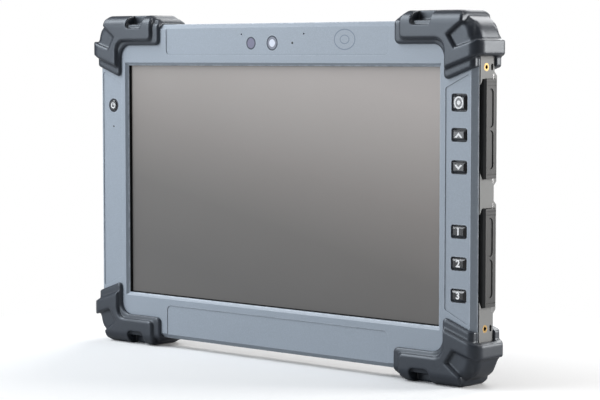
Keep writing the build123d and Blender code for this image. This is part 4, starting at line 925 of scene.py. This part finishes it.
def card_material():
    """Pale matt card: white to the camera away from the tablet, and dull to everything else."""
    material, tree, shader = new_material("Pale card")
    shader.inputs["Roughness"].default_value = CARD_ROUGHNESS
    shader.inputs["Specular IOR Level"].default_value = CARD_SPECULAR
    path = tree.nodes.new("ShaderNodeLightPath")
    seen = mix_colour(tree, path.outputs["Is Camera Ray"], rgba(CARD_BOUNCE), rgba(CARD_SEEN))
    tree.links.new(seen, shader.inputs["Base Color"])
    distance = tree.nodes.new("ShaderNodeVectorMath")
    distance.operation = "LENGTH"
    tree.links.new(object_coordinates(tree), distance.inputs[0])
    far = map_range(tree, distance.outputs["Value"], *CARD_FADE)
    white = tree.nodes.new("ShaderNodeEmission")
    white.inputs["Color"].default_value = rgba(WHITE)
    mix = tree.nodes.new("ShaderNodeMixShader")
    tree.links.new(math_node(tree, "MULTIPLY", far, path.outputs["Is Camera Ray"]), mix.inputs[0])
    tree.links.new(shader.outputs[0], mix.inputs[1])
    tree.links.new(white.outputs[0], mix.inputs[2])
    tree.links.new(mix.outputs[0], tree.nodes["Material Output"].inputs["Surface"])
    return material


def make_stage():
    bpy.ops.mesh.primitive_plane_add(size=FLOOR_SIZE, location=(0, 0, 0))
    floor = bpy.context.object
    floor.name = "studio_floor"
    floor.data.materials.append(card_material())


def background(tree, colour, level):
    node = tree.nodes.new("ShaderNodeBackground")
    node.inputs["Color"].default_value = rgba(colour)
    node.inputs["Strength"].default_value = level
    return node.outputs[0]


def make_world():
    """Dim even surroundings for light and reflections, and white ones for the camera alone."""
    world = bpy.data.worlds.new("Soft studio")
    bpy.context.scene.world = world
    world.use_nodes = True
    tree = world.node_tree
    tree.nodes.clear()
    path = tree.nodes.new("ShaderNodeLightPath")
    mix = tree.nodes.new("ShaderNodeMixShader")
    tree.links.new(path.outputs["Is Camera Ray"], mix.inputs[0])
    tree.links.new(background(tree, AROUND_COLOUR, AROUND_LEVEL), mix.inputs[1])
    tree.links.new(background(tree, WHITE, 1.0), mix.inputs[2])
    tree.links.new(mix.outputs[0], tree.nodes.new("ShaderNodeOutputWorld").inputs[0])


# ---------------------------------------------------------------- lamps and camera
LEVEL_POWER = 9.87          # watts for one unit of light at one metre
# name, azimuth, elevation, distance, width, height, level and colour of each lamp; angles are in
# degrees, from straight before the tablet to its right and from level upwards
LAMPS = [
    ("key_front_left", -33, 13, 1.5, 1.0, 0.8, 0.48, (0.90, 0.95, 1.0)),
    ("upper_left", -55, 45, 1.0, 0.7, 0.5, 0.80, (0.92, 0.96, 1.0)),
    ("right_rear", 132, 14, 1.4, 0.6, 0.9, 0.92, (1.0, 0.98, 0.96)),
    ("overhead", 20, 84, 1.2, 0.9, 0.5, 0.12, WHITE),
    ("behind", 195, 36, 1.6, 1.1, 0.9, 0.60, WHITE),
]
CAMERA_LENS = 120.46
CAMERA_SENSOR = 36.0
CAMERA_RIGHT = 0.7296       # the camera's place: right of the middle, before the front, above the floor
CAMERA_BEFORE = 0.7903
CAMERA_HEIGHT = 0.1645
CAMERA_AZIMUTH = radians(41.906)
CAMERA_PITCH = radians(4.082)           # downwards


def softbox(name, azimuth, elevation, distance, width, height, level, colour):
    """A soft lamp aimed at the tablet; level is the light it gives a surface that faces it."""
    target = Vector((0, 0, MIDDLE_Z))
    turn, lift = radians(azimuth), radians(elevation)
    away = Vector((sin(turn) * cos(lift), -cos(turn) * cos(lift), sin(lift)))
    data = bpy.data.lights.new(name, "AREA")
    data.shape = "RECTANGLE"
    data.size, data.size_y = width, height
    data.energy = level * LEVEL_POWER * distance ** 2
    data.color = colour
    lamp = bpy.data.objects.new(name, data)
    bpy.context.scene.collection.objects.link(lamp)
    lamp.location = target + distance * away
    lamp.rotation_euler = (-away).to_track_quat("-Z", "Y").to_euler()


def make_camera():
    """Well to the right of the tablet, just under the height of its top and looking a little down."""
    data = bpy.data.cameras.new("camera")
    data.lens = CAMERA_LENS
    data.sensor_width = CAMERA_SENSOR
    camera = bpy.data.objects.new("camera", data)
    bpy.context.scene.collection.objects.link(camera)
    camera.location = (CAMERA_RIGHT, FACE_Y - CAMERA_BEFORE, CAMERA_HEIGHT)
    level = cos(CAMERA_PITCH)
    direction = Vector((
        -sin(CAMERA_AZIMUTH) * level, cos(CAMERA_AZIMUTH) * level, -sin(CAMERA_PITCH),
    ))
    camera.rotation_euler = direction.to_track_quat("-Z", "Y").to_euler()
    bpy.context.scene.camera = camera


make_stage()
make_world()
for lamp in LAMPS:
    softbox(*lamp)
make_camera()
bpy.context.scene.view_settings.view_transform = "Standard"
